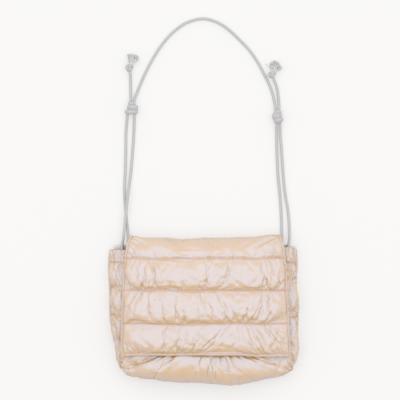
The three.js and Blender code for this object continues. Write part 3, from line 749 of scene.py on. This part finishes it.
lining_x = np.linspace(LINING_TOP[0, 0], LINING_TOP[-1, 0], LINING_COLUMNS)
across, fall = np.meshgrid(lining_x, np.linspace(0, 1, LINING_ROWS))
lining_y = between(along(LINING_TOP, across)[0], LINING_LOW, fall)
ripple = waver(across, LINING_RIPPLE_LENGTH, LINING_RIPPLE, seed=8) * (1 - fall) ** 2
edge_roll = LINING_ROLL * np.exp(-(fall * LINING_ROWS / LINING_ROLL_ROWS) ** 2)
lining_under = grid(across, lining_y, LINING_LEVEL)
lining_over = lining_under + grid(0, 0, LINING_WALL + edge_roll + ripple)
lining = quilted("lining_facing", lining_over, lining_under, flat_cut(lining_under),
                 np.zeros_like(across), [lining_cloth])
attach(lining, "root")
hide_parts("lining")

share, fall = np.meshgrid(np.linspace(0, 1, TAB_COLUMNS), np.linspace(0, 1, TAB_ROWS))
round_over = np.sqrt(1 - np.abs(2 * share - 1) ** TAB_SIDE_POWER)
round_over *= np.sqrt(1 - np.abs(2 * fall - 1) ** TAB_END_POWER)
pressed = 1 - TAB_SEAM_DEPTH * sum(np.exp(-((fall - seam) / TAB_SEAM_WIDTH) ** 2) for seam in TAB_SEAMS)
for side in ("left", "right"):
    tab_x = TAB_MIDDLE[side] + TAB_WIDTH * (share - 0.5)
    tab_under = grid(tab_x, TAB_TOP - TAB_LENGTH * fall, TAB_FLOOR)
    tab_over = tab_under + grid(0, 0, TAB_LAYER + TAB_HEIGHT * round_over * pressed)
    tab = quilted(f"{side}_cord_tab_sewn", tab_over, tab_under, flat_cut(tab_under),
                  np.zeros_like(share), [lining_cloth])
    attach(tab, "root")
    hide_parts(f"{side}_cord_tab")

# Flap
# A quilted cover sewn to the back panel's top edge. It rolls over the mouth and lies on the front,
# in four wadded channels, with a turned and topstitched hem round its free edges.
HEM_LINE = 0.0033
HEM_ROLL = 0.0017
HEM_EDGE_THICK = 0.0014
HEM_ROLL_THICK = 0.0027
HEM_LINE_THICK = 0.0018
# Thread tint and painted shade along the hem's stitched line.
HEM_SEAM_SHADE = 0.8
HEM_SEAM_SHADE_REACH = 0.0008
HEM_MARGIN = 0.00001
FLAP_LINE_THICK = 0.0020
FLAP_PUFF = 0.0062
ROLL_PUFF = 0.0034
FLAP_CROWN = 0.65
FLAP_GATHER = 0.04
FLAP_GATHER_START = 1.2
FLAP_CLOTH = {"slack": 0.005, "pressure": 1.2, "reach": 0.013, "stiffness": 0.06}
FLAP_SLUMP = 0.8
SLUMP_REACH = 0.009
FLAP_FOLD_CROWN = 0.5
FOLD_FADE = 0.007
# line, share of the folds' height on the roll
ROLL_FOLDS = ((1.4, 1.7, 1.94, 2), (0.1, 0.6, 1.6, 0))
FLAP_EDGE_REACH = 0.017
FLAP_EDGE_POWER = 0.6
FLAP_DROOP = 0.0025
FLAP_DROOP_REACH = 0.026
FLAP_EDGE_SAG = (0.0012, 0.003)
FLAP_CORNER = 0.008
FLAP_WIDTH = 0.238
FLAP_CHANNEL = 0.0460
FLAP_COLUMNS = 199
FLAP_SEWN_LINES = (0, 2, 3, 4, 5)
ROLL_END = 2
LAST_SEAM = 4
FLAP_END = 5
# from line, to line, rows, down to the channel that ends in the hem
FLAP_ROWS = ((0, 2, 46), (2, 3, 40), (3, 4, 40))
LAST_ROWS = 37
FLAP_SLIP_LENGTH = 0.17
FLAP_PUCKER_LENGTH = 0.017
# line, drift, pucker
FLAP_SEWING = ((1.5, 0, 0), (2, 0.0022, 0.0007), (3, 0.0024, 0.0007), (4, 0.0024, 0.0007),
               (5, 0.002, 0.0006))
FLAP_SWAY_LENGTH = 0.11
FLAP_RIPPLE_LENGTH = 0.03
# line, long waves and short ripples of the hand-guided sewing
FLAP_SWAY = ((1.5, 0, 0), (2, 0.0007, 0.0003), (3, 0.0008, 0.0003), (4, 0.0008, 0.0003), (5, 0.0005, 0.0002))
# line, y, z, left, right
FLAP_LINES = np.array([
    (0, 0.0919, 0.0064, -0.1045, 0.110), (0.3, 0.0966, 0.0084, -0.105, 0.1106),
    (0.7, 0.0994, 0.0185, -0.106, 0.1116), (1.1, 0.099, 0.031, -0.1075, 0.1129),
    (1.45, 0.0938, 0.041, -0.1106, 0.1158), (1.7, 0.086, 0.0448, -0.1128, 0.118),
    (2, 0.0737, 0.046, -0.1145, 0.1197), (3, 0.027, 0.0507, -0.118, 0.1228),
    (4, -0.0214, 0.0528, -0.1192, 0.125), (5, -0.0673, 0.0494, -0.120, 0.128),
])
ROLL_START = 0.1
ROLL_SPAN = 1.7
# share across, how far the roll stands out above the mouth
ROLL_EDGE = np.array([
    (0.0, 0.0060), (0.025, 0.0028), (0.06, -0.0036), (0.11, -0.0062), (0.17, -0.0052), (0.25, -0.0066),
    (0.34, -0.0145), (0.42, -0.0105), (0.55, -0.0108), (0.66, -0.0090), (0.75, -0.0072), (0.85, -0.0045),
    (0.93, 0.0012), (1.0, 0.0070),
])


def flap_base(across, line):
    """Points on the flap's inner face."""
    y, z, left, right = along(FLAP_LINES, line)
    x = between(left, right, across)
    corner = np.where(across < 0.5, FLAP_EDGE_SAG[0], FLAP_EDGE_SAG[1])
    y = y - corner * (2 * across - 1) ** 2 * np.maximum(0, line - LAST_SEAM)
    over_mouth = np.sin(math.pi * np.clip((line - ROLL_START) / ROLL_SPAN, 0, 1))
    y = y + along(ROLL_EDGE, across)[0] * over_mouth
    _, _, under_left, under_right = along(FRONT_LINES, np.maximum(0, line - 1))
    share = side_share(x, under_left, under_right)
    inside = np.minimum(across, 1 - across) * (right - left)
    droop = FLAP_DROOP * np.clip(1 - inside / FLAP_DROOP_REACH, 0, 1) ** 2 * np.minimum(1, line / ROLL_END)
    sideways = np.clip(1 - inside / FLAP_CORNER, 0, 1)
    endways = np.clip(1 - (FLAP_END - line) * FLAP_CHANNEL / FLAP_CORNER, 0, 1)
    x = x - np.sign(across - 0.5) * FLAP_CORNER * sideways * (1 - np.sqrt(1 - endways ** 2 / 2))
    y = y + FLAP_CORNER * endways * (1 - np.sqrt(1 - sideways ** 2 / 2))
    return grid(x, y, FRONT_SEAM_LEVEL + (z - FRONT_SEAM_LEVEL) * share - droop)


hem_share = HEM_LINE / FLAP_WIDTH
roll_share = HEM_ROLL / FLAP_WIDTH
hem_row = FLAP_END - HEM_LINE / FLAP_CHANNEL
roll_row = FLAP_END - HEM_ROLL / FLAP_CHANNEL
inside_hem = np.linspace(hem_share, 1 - hem_share, FLAP_COLUMNS)
flap_across = np.concatenate([[0, roll_share], inside_hem, [1 - roll_share, 1]])
flap_lines = np.append(runs(*FLAP_ROWS, (LAST_SEAM, hem_row, LAST_ROWS)), (roll_row, FLAP_END))
share, line = np.meshgrid(flap_across, flap_lines)
flap_sway = FLAP_WIDTH * slip(share, line, FLAP_SWAY, FLAP_WIDTH, FLAP_SWAY_LENGTH, FLAP_RIPPLE_LENGTH,
                              seed=80)
flap_inner = flap_base(share, line)
flap_inner[..., 1] += flap_sway
from_side = np.minimum(share, 1 - share) * FLAP_WIDTH
from_edge = np.minimum(from_side, (FLAP_END - line) * FLAP_CHANNEL)
thick = np.interp(from_edge, (0, HEM_ROLL, HEM_LINE, 2 * HEM_LINE),
                  (HEM_EDGE_THICK, HEM_ROLL_THICK, HEM_LINE_THICK, SEAM_WALL))
on_line = np.isin(line, FLAP_SEWN_LINES)
thick = np.where(on_line, np.minimum(thick, FLAP_LINE_THICK), thick)
flap_held = (from_edge < HEM_LINE + HEM_MARGIN) | on_line
flap_sewn = raised(flap_inner, thick)
gather = np.interp(line, (FLAP_GATHER_START, ROLL_END), (0, FLAP_GATHER))
flap_wide = 0.5 + (share - 0.5) * (1 + gather)
flap_wide += slip(share, line, FLAP_SEWING, FLAP_WIDTH, FLAP_SLIP_LENGTH, FLAP_PUCKER_LENGTH, seed=60)
flap_edge = np.clip(from_side / FLAP_EDGE_REACH, 0, 1) ** FLAP_EDGE_POWER
flap_swell = np.where(line < ROLL_END, ROLL_PUFF, FLAP_PUFF) * flap_edge
flap_swell *= crown(line, FLAP_SEWN_LINES, FLAP_CROWN)
flap_laid = flap_base(flap_wide, line)
flap_laid[..., 1] += flap_sway
flap_laid = raised(flap_laid, thick + flap_swell)
flap_cut = flat_cut(flap_inner)
to_line = (np.ceil(line) - line) * FLAP_CHANNEL
flap_slump = FLAP_SLUMP * np.clip(to_line / SLUMP_REACH, 0, 1) * (line > ROLL_END)
flap_outer = inflate(flap_laid, flap_sewn, flap_held, seed=3, slump=flap_slump, **FLAP_CLOTH)
flap_fade = np.where(line < ROLL_END, np.interp(line, *ROLL_FOLDS),
                     crown(line, FLAP_SEWN_LINES, FLAP_FOLD_CROWN))
flap_fade *= np.clip(from_edge / FOLD_FADE, 0, 1)
flap_dents = crumple(flap_cut, FOLD_SIZE, FOLD_HEIGHT, seed=13) * flap_fade
flap_outer = raised(flap_outer, flap_dents)
flap_line_rows = rows_at(flap_lines, FLAP_SEWN_LINES[1:-1])
# Painted shade and thread tint along the hem's stitched line, mixed into the shell's colour.
hem_seam_shade = HEM_SEAM_SHADE * np.exp(-((from_edge - HEM_LINE) / HEM_SEAM_SHADE_REACH) ** 2)
flap_seam_shade = np.maximum(near_lines(flap_cut, flap_cut[flap_line_rows, 0, 1]), hem_seam_shade)
flap = quilted("flap_quilt", flap_outer, flap_inner, flap_cut, flap_seam_shade, [shell_cloth])
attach(flap, "root")
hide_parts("flap")

# Stitching
# Lockstitch in a rosy tan thread: along the flap's three quilting lines and round its hem, each
# stitch a short bead of thread pulled into the cloth.
STITCH_PITCH = 0.0031
STITCH_LENGTH = 0.0025
BEAD_SEGMENTS = 6
BEAD_RINGS = 5
THREAD_RADIUS = 0.00032
THREAD_LIFT = 0.0001
THREAD_TAN = (0.56, 0.31, 0.11, 1)
THREAD_ROSE = (0.66, 0.39, 0.17, 1)
THREAD_PLY_SCALE = 900.0
THREAD_ROUGHNESS = 0.6
THREAD_SHINE = 0.2


def object_noise(tree, scale):
    """Output of a noise that is fixed to the piece."""
    place = tree.nodes.new("ShaderNodeTexCoord")
    noise = tree.nodes.new("ShaderNodeTexNoise")
    noise.inputs["Scale"].default_value = scale
    wire(tree, (place, "Object", noise, "Vector"))
    return noise.outputs["Fac"]


def geometry_tree(name, *sizes):
    """A Geometry Nodes tree with its ends, and inputs given as names and kinds of socket."""
    tree = bpy.data.node_groups.new(name, "GeometryNodeTree")
    for port, kind in (("Geometry", "Geometry"), *sizes):
        tree.interface.new_socket(port, in_out="INPUT", socket_type=f"NodeSocket{kind}")
    tree.interface.new_socket("Geometry", in_out="OUTPUT", socket_type="NodeSocketGeometry")
    return tree, tree.nodes.new("NodeGroupInput"), tree.nodes.new("NodeGroupOutput")


def finish_tree(tree, entry, leave, made, output, material):
    """Ends a tree: what was made becomes real, smooth and dressed in the material input."""
    solid = tree.nodes.new("GeometryNodeRealizeInstances")
    smooth = tree.nodes.new("GeometryNodeSetShadeSmooth")
    dressed = tree.nodes.new("GeometryNodeSetMaterial")
    wire(tree,
         (made, output, solid, "Geometry"),
         (solid, "Geometry", smooth, "Geometry"),
         (smooth, "Geometry", dressed, "Geometry"),
         (entry, material, dressed, "Material"),
         (dressed, "Geometry", leave, "Geometry"))


def stitch_tree():
    """Beads of thread along the edges of a mesh, one for each stitch."""
    tree, entry, leave = geometry_tree("lockstitch", ("Pitch", "Float"), ("Stitch Length", "Float"),
                                       ("Thread Radius", "Float"), ("Thread", "Material"))
    path = tree.nodes.new("GeometryNodeMeshToCurve")
    points = tree.nodes.new("GeometryNodeCurveToPoints")
    points.mode = "LENGTH"
    bead = tree.nodes.new("GeometryNodeMeshUVSphere")
    bead.inputs["Segments"].default_value = BEAD_SEGMENTS
    bead.inputs["Rings"].default_value = BEAD_RINGS
    half = math_node(tree, "MULTIPLY", 0.5)
    size = tree.nodes.new("ShaderNodeCombineXYZ")
    place = tree.nodes.new("GeometryNodeInstanceOnPoints")
    wire(tree,
         (entry, "Geometry", path, "Mesh"),
         (path, "Curve", points, "Curve"),
         (entry, "Pitch", points, "Length"),
         (entry, "Stitch Length", half, 0),
         (entry, "Thread Radius", size, "X"),
         (entry, "Thread Radius", size, "Y"),
         (half, "Value", size, "Z"),
         (points, "Points", place, "Points"),
         (points, "Rotation", place, "Rotation"),
         (bead, "Mesh", place, "Instance"),
         (size, "Vector", place, "Scale"))
    finish_tree(tree, entry, leave, place, "Instances", "Thread")
    return tree


def run_nodes(name, paths, tree, values, radii=None):
    """A plain mesh from a node tree run on polylines, with its inputs set by name."""
    points = np.concatenate(paths)
    starts = np.cumsum([0] + [len(path) for path in paths])
    edges = [(i, i + 1) for a, b in zip(starts[:-1], starts[1:]) for i in range(a, b - 1)]
    lines = bpy.data.meshes.new(name + "_lines")
    lines.from_pydata(points.tolist(), edges, [])
    if radii is not None:
        width = lines.attributes.new("yarn_radius", "FLOAT", "POINT")
        width.data.foreach_set("value", np.concatenate(radii))
    host = new_object(name + "_lines", lines)
    modifier = host.modifiers.new(tree.name, "NODES")
    modifier.node_group = tree
    for item in tree.interface.items_tree:
        if item.in_out == "INPUT" and item.name in values:
            modifier[item.identifier] = values[item.name]
    evaluated = host.evaluated_get(bpy.context.evaluated_depsgraph_get())
    mesh = bpy.data.meshes.new_from_object(evaluated)
    mesh.name = name
    bpy.data.objects.remove(host)
    bpy.data.meshes.remove(lines)
    return new_object(name, mesh)


seam_thread, thread_shader, thread_tree = new_material("seam_thread")
colour_mix(thread_tree, object_noise(thread_tree, THREAD_PLY_SCALE), THREAD_TAN, THREAD_ROSE,
           thread_shader.inputs["Base Color"])
thread_shader.inputs["Roughness"].default_value = THREAD_ROUGHNESS
thread_shader.inputs["Specular IOR Level"].default_value = THREAD_SHINE

flap_top = raised(flap_outer, THREAD_LIFT)
hem_rows = len(flap_lines) - 2
hem_path = np.concatenate([flap_top[:hem_rows, 2], flap_top[hem_rows - 1, 3:-3],
                           flap_top[:hem_rows, -3][::-1]])
stitch_paths = [flap_top[row, 3:-3] for row in flap_line_rows] + [hem_path]
stitch_values = {"Pitch": STITCH_PITCH, "Stitch Length": STITCH_LENGTH, "Thread Radius": THREAD_RADIUS,
                 "Thread": seam_thread}
flap_stitches = run_nodes("flap_stitching", stitch_paths, stitch_tree(), stitch_values)
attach(flap_stitches, "root")

# Cord strap
# One thin braided polyester cord in three lengths: each leaves a tab in the mouth, and they run
# through the two slip knots to the frayed ends and over the shoulder in one arch.
CORD_RADIUS = 0.0022
CORD_SIDES = 20
CORD_STEP = 0.0009
CURVE_STEPS = 24
BRAID_PITCH = 0.0065
BRAID_CARRIERS = 4
BRAID_RELIEF = 0.05
STEEP = 0.9
CORD_GREY = (0.40, 0.40, 0.41, 1)
CORD_SILVER = (0.55, 0.55, 0.56, 1)
CORD_FUZZ_SCALE = 700.0
CORD_FUZZ_HEIGHT = 0.0003
CORD_ROUGHNESS = 0.6
CORD_SHEEN = 0.2
# x, y, z along each stretch of cord
LEFT_INNER = [
    (-0.1112, 0.0726, 0.0118), (-0.111, 0.084, 0.012), (-0.1106, 0.094, 0.012), (-0.1104, 0.103, 0.0086),
    (-0.1109, 0.113, 0.004), (-0.1124, 0.126, 0.0025), (-0.1144, 0.148, 0.0025), (-0.1158, 0.172, 0.0025),
    (-0.1153, 0.188, 0.0025), (-0.1146, 0.203, 0.0025), (-0.114, 0.232, 0.0025), (-0.1136, 0.258, 0.0024),
    (-0.1124, 0.274, 0.0036), (-0.1116, 0.2821, 0.005),
]
LEFT_OUTER = [
    (-0.118, 0.0726, 0.0118), (-0.1189, 0.082, 0.012), (-0.119, 0.092, 0.012), (-0.1179, 0.1, 0.011),
    (-0.1164, 0.112, 0.0084), (-0.1148, 0.127, 0.0072), (-0.1127, 0.148, 0.0072), (-0.1107, 0.165, 0.0066),
    (-0.1088, 0.18, 0.0036), (-0.1066, 0.198, 0.0025), (-0.1038, 0.23, 0.0025), (-0.102, 0.258, 0.0024),
    (-0.1014, 0.274, 0.0036), (-0.1012, 0.2821, 0.005),
]
LEFT_TAIL = [
    (-0.1067, 0.3058, 0.005), (-0.1067, 0.314, 0.0034), (-0.1068, 0.324, 0.0024), (-0.107, 0.336, 0.0034),
    (-0.1073, 0.3442, 0.005), (-0.1078, 0.350, 0.0052),
]
STRAP_ARCH = [
    (-0.1013, 0.3058, 0.005), (-0.097, 0.3175, 0.003), (-0.089, 0.337, 0.0025), (-0.0774, 0.3605, 0.0025),
    (-0.067, 0.3782, 0.0025), (-0.054, 0.3956, 0.0025), (-0.042, 0.4076, 0.0025), (-0.0246, 0.4194, 0.0025),
    (-0.0004, 0.4254, 0.0025), (0.0218, 0.4194, 0.0025), (0.039, 0.4078, 0.0025), (0.0516, 0.396, 0.0025),
    (0.0682, 0.3784, 0.0025), (0.0804, 0.3606, 0.0025), (0.0926, 0.3374, 0.0025), (0.0984, 0.325, 0.0025),
    (0.1026, 0.312, 0.0026), (0.105, 0.3, 0.0038), (0.106, 0.2922, 0.005),
]
RIGHT_TAIL = [
    (0.1113, 0.2922, 0.005), (0.1112, 0.3, 0.0034), (0.1102, 0.311, 0.0024), (0.1078, 0.325, 0.003),
    (0.1036, 0.336, 0.005), (0.1018, 0.341, 0.0052),
]
RIGHT_INNER = [
    (0.1152, 0.0726, 0.0118), (0.1153, 0.084, 0.012), (0.1155, 0.094, 0.012), (0.1155, 0.103, 0.0086),
    (0.1153, 0.113, 0.004), (0.115, 0.126, 0.0025), (0.1142, 0.144, 0.0025), (0.1124, 0.168, 0.0025),
    (0.1097, 0.195, 0.0025), (0.1083, 0.228, 0.0025), (0.1077, 0.25, 0.0025), (0.1075, 0.26, 0.0036),
    (0.1076, 0.268, 0.005),
]
RIGHT_OUTER = [
    (0.1216, 0.0726, 0.0118), (0.1219, 0.079, 0.012), (0.1252, 0.093, 0.012), (0.1265, 0.102, 0.0088),
    (0.1265, 0.113, 0.004), (0.126, 0.126, 0.0025), (0.1246, 0.143, 0.0025), (0.1204, 0.168, 0.0025),
    (0.1169, 0.205, 0.0025), (0.1151, 0.232, 0.0025), (0.1135, 0.252, 0.0025), (0.113, 0.261, 0.0036),
    (0.1129, 0.268, 0.005),
]
# route, CAD nodes, what is on the far end
CORD_LAYS = {
    "left_tail_cord": (LEFT_INNER + LEFT_TAIL, ("left_inner_strand", "left_tail"), "knot"),
    "strap_cord": (LEFT_OUTER + STRAP_ARCH + RIGHT_INNER[::-1],
                   ("left_outer_strand", "strap_arch", "right_inner_strand"), "object"),
    "right_tail_cord": (RIGHT_OUTER + RIGHT_TAIL, ("right_outer_strand", "right_tail"), "knot"),
}


def flowing(points, step):
    """Points a step apart on a smooth curve through given points."""
    laid = np.array(points, dtype=float)
    laid = np.concatenate([[2 * laid[0] - laid[1]], laid, [2 * laid[-1] - laid[-2]]])
    pieces = []
    t = np.linspace(0, 1, CURVE_STEPS, endpoint=False)[:, None]
    for p0, p1, p2, p3 in zip(laid, laid[1:], laid[2:], laid[3:]):
        d0, d1, d2 = (max(np.linalg.norm(b - a), 1e-6) ** 0.5 for a, b in ((p0, p1), (p1, p2), (p2, p3)))
        leave = ((p1 - p0) / d0 - (p2 - p0) / (d0 + d1) + (p2 - p1) / d1) * d1
        arrive = ((p2 - p1) / d1 - (p3 - p1) / (d1 + d2) + (p3 - p2) / d2) * d1
        pieces.append(hermite(p1, leave, p2, arrive, t))
    fine = np.concatenate(pieces + [laid[-2:-1]])
    run = run_length(fine)
    even = np.linspace(0, run[-1], max(2, round(run[-1] / step) + 1))
    return np.stack([np.interp(even, run, axis) for axis in fine.T], axis=-1)


def braided(name, centres, radii, material):
    """One mesh of braided tubes along paths, each with its radius, closed at their ends."""
    points, faces, flat = [], [], []
    turn = np.linspace(0, 2 * math.pi, CORD_SIDES, endpoint=False)
    for centre, radius in zip(centres, radii):
        base = len(points)
        ahead = np.gradient(centre, axis=0)
        ahead /= np.linalg.norm(ahead, axis=-1, keepdims=True)
        side = np.cross(ahead[0], (0, 0, 1.0) if abs(ahead[0][2]) < STEEP else (1.0, 0, 0))
        for middle, forward, length in zip(centre, ahead, run_length(centre)):
            side = side - forward * side.dot(forward)
            side /= np.linalg.norm(side)
            up = np.cross(forward, side)
            twist = 2 * math.pi * length / BRAID_PITCH
            relief = np.cos(BRAID_CARRIERS * turn + twist) * np.cos(BRAID_CARRIERS * turn - twist)
            thick = radius * (1 - BRAID_RELIEF + BRAID_RELIEF * relief)
            ring = middle + thick[:, None] * (np.cos(turn)[:, None] * side + np.sin(turn)[:, None] * up)
            points.extend(ring.tolist())
            flat.extend([(length, radius * angle) for angle in turn])
        rings = len(centre)
        for k in range(rings - 1):
            low = base + k * CORD_SIDES
            for i in range(CORD_SIDES):
                j = (i + 1) % CORD_SIDES
                faces.append((low + i, low + j, low + CORD_SIDES + j, low + CORD_SIDES + i))
        for end, order in ((0, -1), (rings - 1, 1)):
            start = base + end * CORD_SIDES
            faces.append(tuple(range(start, start + CORD_SIDES))[::order])
    mesh = bpy.data.meshes.new(name)
    mesh.from_pydata(points, [], faces)
    mesh.materials.append(material)
    finish_mesh(mesh, np.array(flat), "run")
    return new_object(name, mesh)


cord_yarn, cord_shader, cord_tree = new_material("braided_cord")
cord_fuzz = object_noise(cord_tree, CORD_FUZZ_SCALE)
colour_mix(cord_tree, cord_fuzz, CORD_GREY, CORD_SILVER, cord_shader.inputs["Base Color"])
cord_bump = cord_tree.nodes.new("ShaderNodeBump")
cord_bump.inputs["Distance"].default_value = CORD_FUZZ_HEIGHT
cord_tree.links.new(cord_fuzz, cord_bump.inputs["Height"])
wire(cord_tree, (cord_bump, "Normal", cord_shader, "Normal"))
cord_shader.inputs["Roughness"].default_value = CORD_ROUGHNESS
cord_shader.inputs["Sheen Weight"].default_value = CORD_SHEEN

cords = {}
cord_paths = {}
for name, (route, nodes, _) in CORD_LAYS.items():
    cord_paths[name] = flowing(route, CORD_STEP)
    cords[name] = braided(name, [cord_paths[name]], [CORD_RADIUS], cord_yarn)
    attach(cords[name], "root")
    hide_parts(*nodes)

# Slip knots
# At each side the strap is adjusted by a sliding knot: the tail is wound round the standing strands
# in turns that are pulled tight, squashed into each other, and smaller towards the top.
KNOT_MIDDLE = 0.0064
KNOT_TURN_POINTS = 33
# x, y, half width, half of the turn's thickness, slope
SLIP_TURNS = {
    "left": ((-0.1056, 0.2884, 0.0101, 0.0037, 0.02), (-0.1036, 0.2948, 0.0086, 0.0047, -0.08),
             (-0.1052, 0.3004, 0.0058, 0.0035, 0.05)),
    "right": ((0.1104, 0.2762, 0.0077, 0.0042, 0.24), (0.1083, 0.2822, 0.0094, 0.0056, 0.20),
              (0.1094, 0.2876, 0.0058, 0.0036, 0.10)),
}
slip_knots = {}
for side, turns in SLIP_TURNS.items():
    winds = []
    for x, y, half_width, thickness, slope in turns:
        angle = np.linspace(-math.pi / 2, 1.5 * math.pi, KNOT_TURN_POINTS)
        beside = (half_width - thickness) * np.cos(angle)
        above = (KNOT_MIDDLE - thickness) * np.sin(angle)
        ring = grid(x + beside, y + slope * beside, KNOT_MIDDLE + above)
        winds.append(flowing(ring, CORD_STEP))
    slip_knots[side] = braided(f"{side}_slip_knot_wound", winds, [turn[3] for turn in turns], cord_yarn)
    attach(slip_knots[side], "root")
    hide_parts(f"{side}_slip_knot")

# End knots and frayed ends
# Each tail is stopped by an overhand knot, beyond which the braid is left to open into a brush of
# loose yarn.
END_KNOTS = {
    "left": {"middle": (-0.1086, 0.3530, 0.0052), "wide": 0.00130, "long": 0.00145, "turn": 0.5,
             "lean": 0.2},
    "right": {"middle": (0.1006, 0.3432, 0.0052), "wide": 0.00150, "long": 0.00100, "turn": 0.2,
              "lean": 0.4},
}
KNOT_STRAND = 0.0026
KNOT_LIFT = 0.0019
KNOT_POINTS = 60
FRAY_NECK = {"left": (-0.1070, 0.3602, 0.0050), "right": (0.1028, 0.3482, 0.0050)}
# angle from straight up, length from the neck
FRAY_FAN = {
    "left": np.array([(-0.38, 0.0140), (0.11, 0.0138), (0.55, 0.0146), (0.94, 0.0158), (1.23, 0.0128),
                      (1.37, 0.0098)]),
    "right": np.array([(-0.67, 0.0096), (-0.27, 0.0142), (0.14, 0.0166), (0.5, 0.0158), (0.91, 0.0136),
                       (1.26, 0.0150), (1.47, 0.0090)]),
}
STRAY_AIM = {"left": (), "right": ((-0.80, 0.0158), (-0.84, 0.0150))}
FRAY_SEED = {"left": 71, "right": 72}
FRAY_SHORTEST = 0.86
FRAY_ROOT_DEPTH = 0.003
FRAY_KNEE = 0.5
FRAY_SPREAD = 1.3
FRAY_DROOP = 0.0012
NECK_WIDTH = 0.0022
YARN_GREY = (0.50, 0.50, 0.51, 1)
YARN_WHITE = (0.72, 0.72, 0.73, 1)
YARN_TONE_SCALE = 600.0
YARN_ROUGHNESS = 0.7
YARN_RADIUS = 0.00042
YARN_TIP = 0.7
YARN_STRANDS = 150
YARN_POINTS = 9
YARN_SIDES = 6


def yarn_tree():
    """Round yarn along the edges of a mesh, as thick as its points say."""
    tree, entry, leave = geometry_tree("loose_yarn", ("Sides", "Int"), ("Yarn", "Material"))
    path = tree.nodes.new("GeometryNodeMeshToCurve")
    width = tree.nodes.new("GeometryNodeInputNamedAttribute")
    width.data_type = "FLOAT"
    width.inputs["Name"].default_value = "yarn_radius"
    section = tree.nodes.new("GeometryNodeCurvePrimitiveCircle")
    section.inputs["Radius"].default_value = 1.0
    body = tree.nodes.new("GeometryNodeCurveToMesh")
    body.inputs["Fill Caps"].default_value = True
    wire(tree,
         (entry, "Geometry", path, "Mesh"),
         (entry, "Sides", section, "Resolution"),
         (path, "Curve", body, "Curve"),
         (section, "Curve", body, "Profile Curve"),
         (width, "Attribute", body, "Scale"))
    finish_tree(tree, entry, leave, body, "Mesh", "Yarn")
    return tree


def aimed(angle):
    """Direction in the plane of the floor at an angle from straight up."""
    return np.array((math.sin(angle), math.cos(angle), 0))


fray_yarn, fray_shader, fray_tree = new_material("fray_yarn")
colour_mix(fray_tree, object_noise(fray_tree, YARN_TONE_SCALE), YARN_GREY, YARN_WHITE,
           fray_shader.inputs["Base Color"])
fray_shader.inputs["Roughness"].default_value = YARN_ROUGHNESS
loose_yarn = yarn_tree()
fray_values = {"Sides": YARN_SIDES, "Yarn": fray_yarn}
end_knots = {}
fray_tufts = {}
for side, knot in END_KNOTS.items():
    t = np.linspace(0, 2 * math.pi, KNOT_POINTS) + knot["turn"]
    beside = knot["wide"] * (np.sin(t) + 2 * np.sin(2 * t))
    above = knot["long"] * (np.cos(t) - 2 * np.cos(2 * t)) + knot["lean"] * beside
    loop = np.array(knot["middle"]) + grid(beside, above, -KNOT_LIFT * np.sin(3 * t))
    tied = [flowing(loop, CORD_STEP)]
    end_knots[side] = braided(f"{side}_end_knot_tied", tied, [KNOT_STRAND], cord_yarn)
    rng = np.random.default_rng(FRAY_SEED[side])
    fan = FRAY_FAN[side]
    aims = [(angle, np.interp(angle, *fan.T) * rng.uniform(FRAY_SHORTEST, 1.0))
            for angle in rng.uniform(fan[0, 0], fan[-1, 0], YARN_STRANDS)]
    neck = np.array(FRAY_NECK[side])
    s = np.linspace(0, 1, YARN_POINTS)[:, None]
    strands = []
    for angle, length in aims + list(STRAY_AIM[side]):
        apart = rng.uniform(-1, 1, 2) * NECK_WIDTH
        root = neck + (apart[0], -FRAY_ROOT_DEPTH, apart[1])
        knee = root + FRAY_KNEE * length * aimed(FRAY_KNEE * angle)
        tip = neck + length * aimed(angle)
        tip[2] += FRAY_SPREAD * apart[1] - FRAY_DROOP
        strand = (1 - s) ** 2 * root + 2 * s * (1 - s) * knee + s ** 2 * tip
        strand[:, 2] = np.maximum(strand[:, 2], YARN_RADIUS)
        strands.append(strand)
    radii = [YARN_RADIUS * np.linspace(1, YARN_TIP, YARN_POINTS)] * len(strands)
    fray_tufts[side] = run_nodes(f"{side}_frayed_end", strands, loose_yarn, fray_values, radii)
    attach(end_knots[side], "root")
    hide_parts(f"{side}_end_knot")
    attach(fray_tufts[side], "root")

for name, (route, _, far_end) in CORD_LAYS.items():
    if name == "strap_cord":
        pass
    else:
        side = name.split("_")[0]
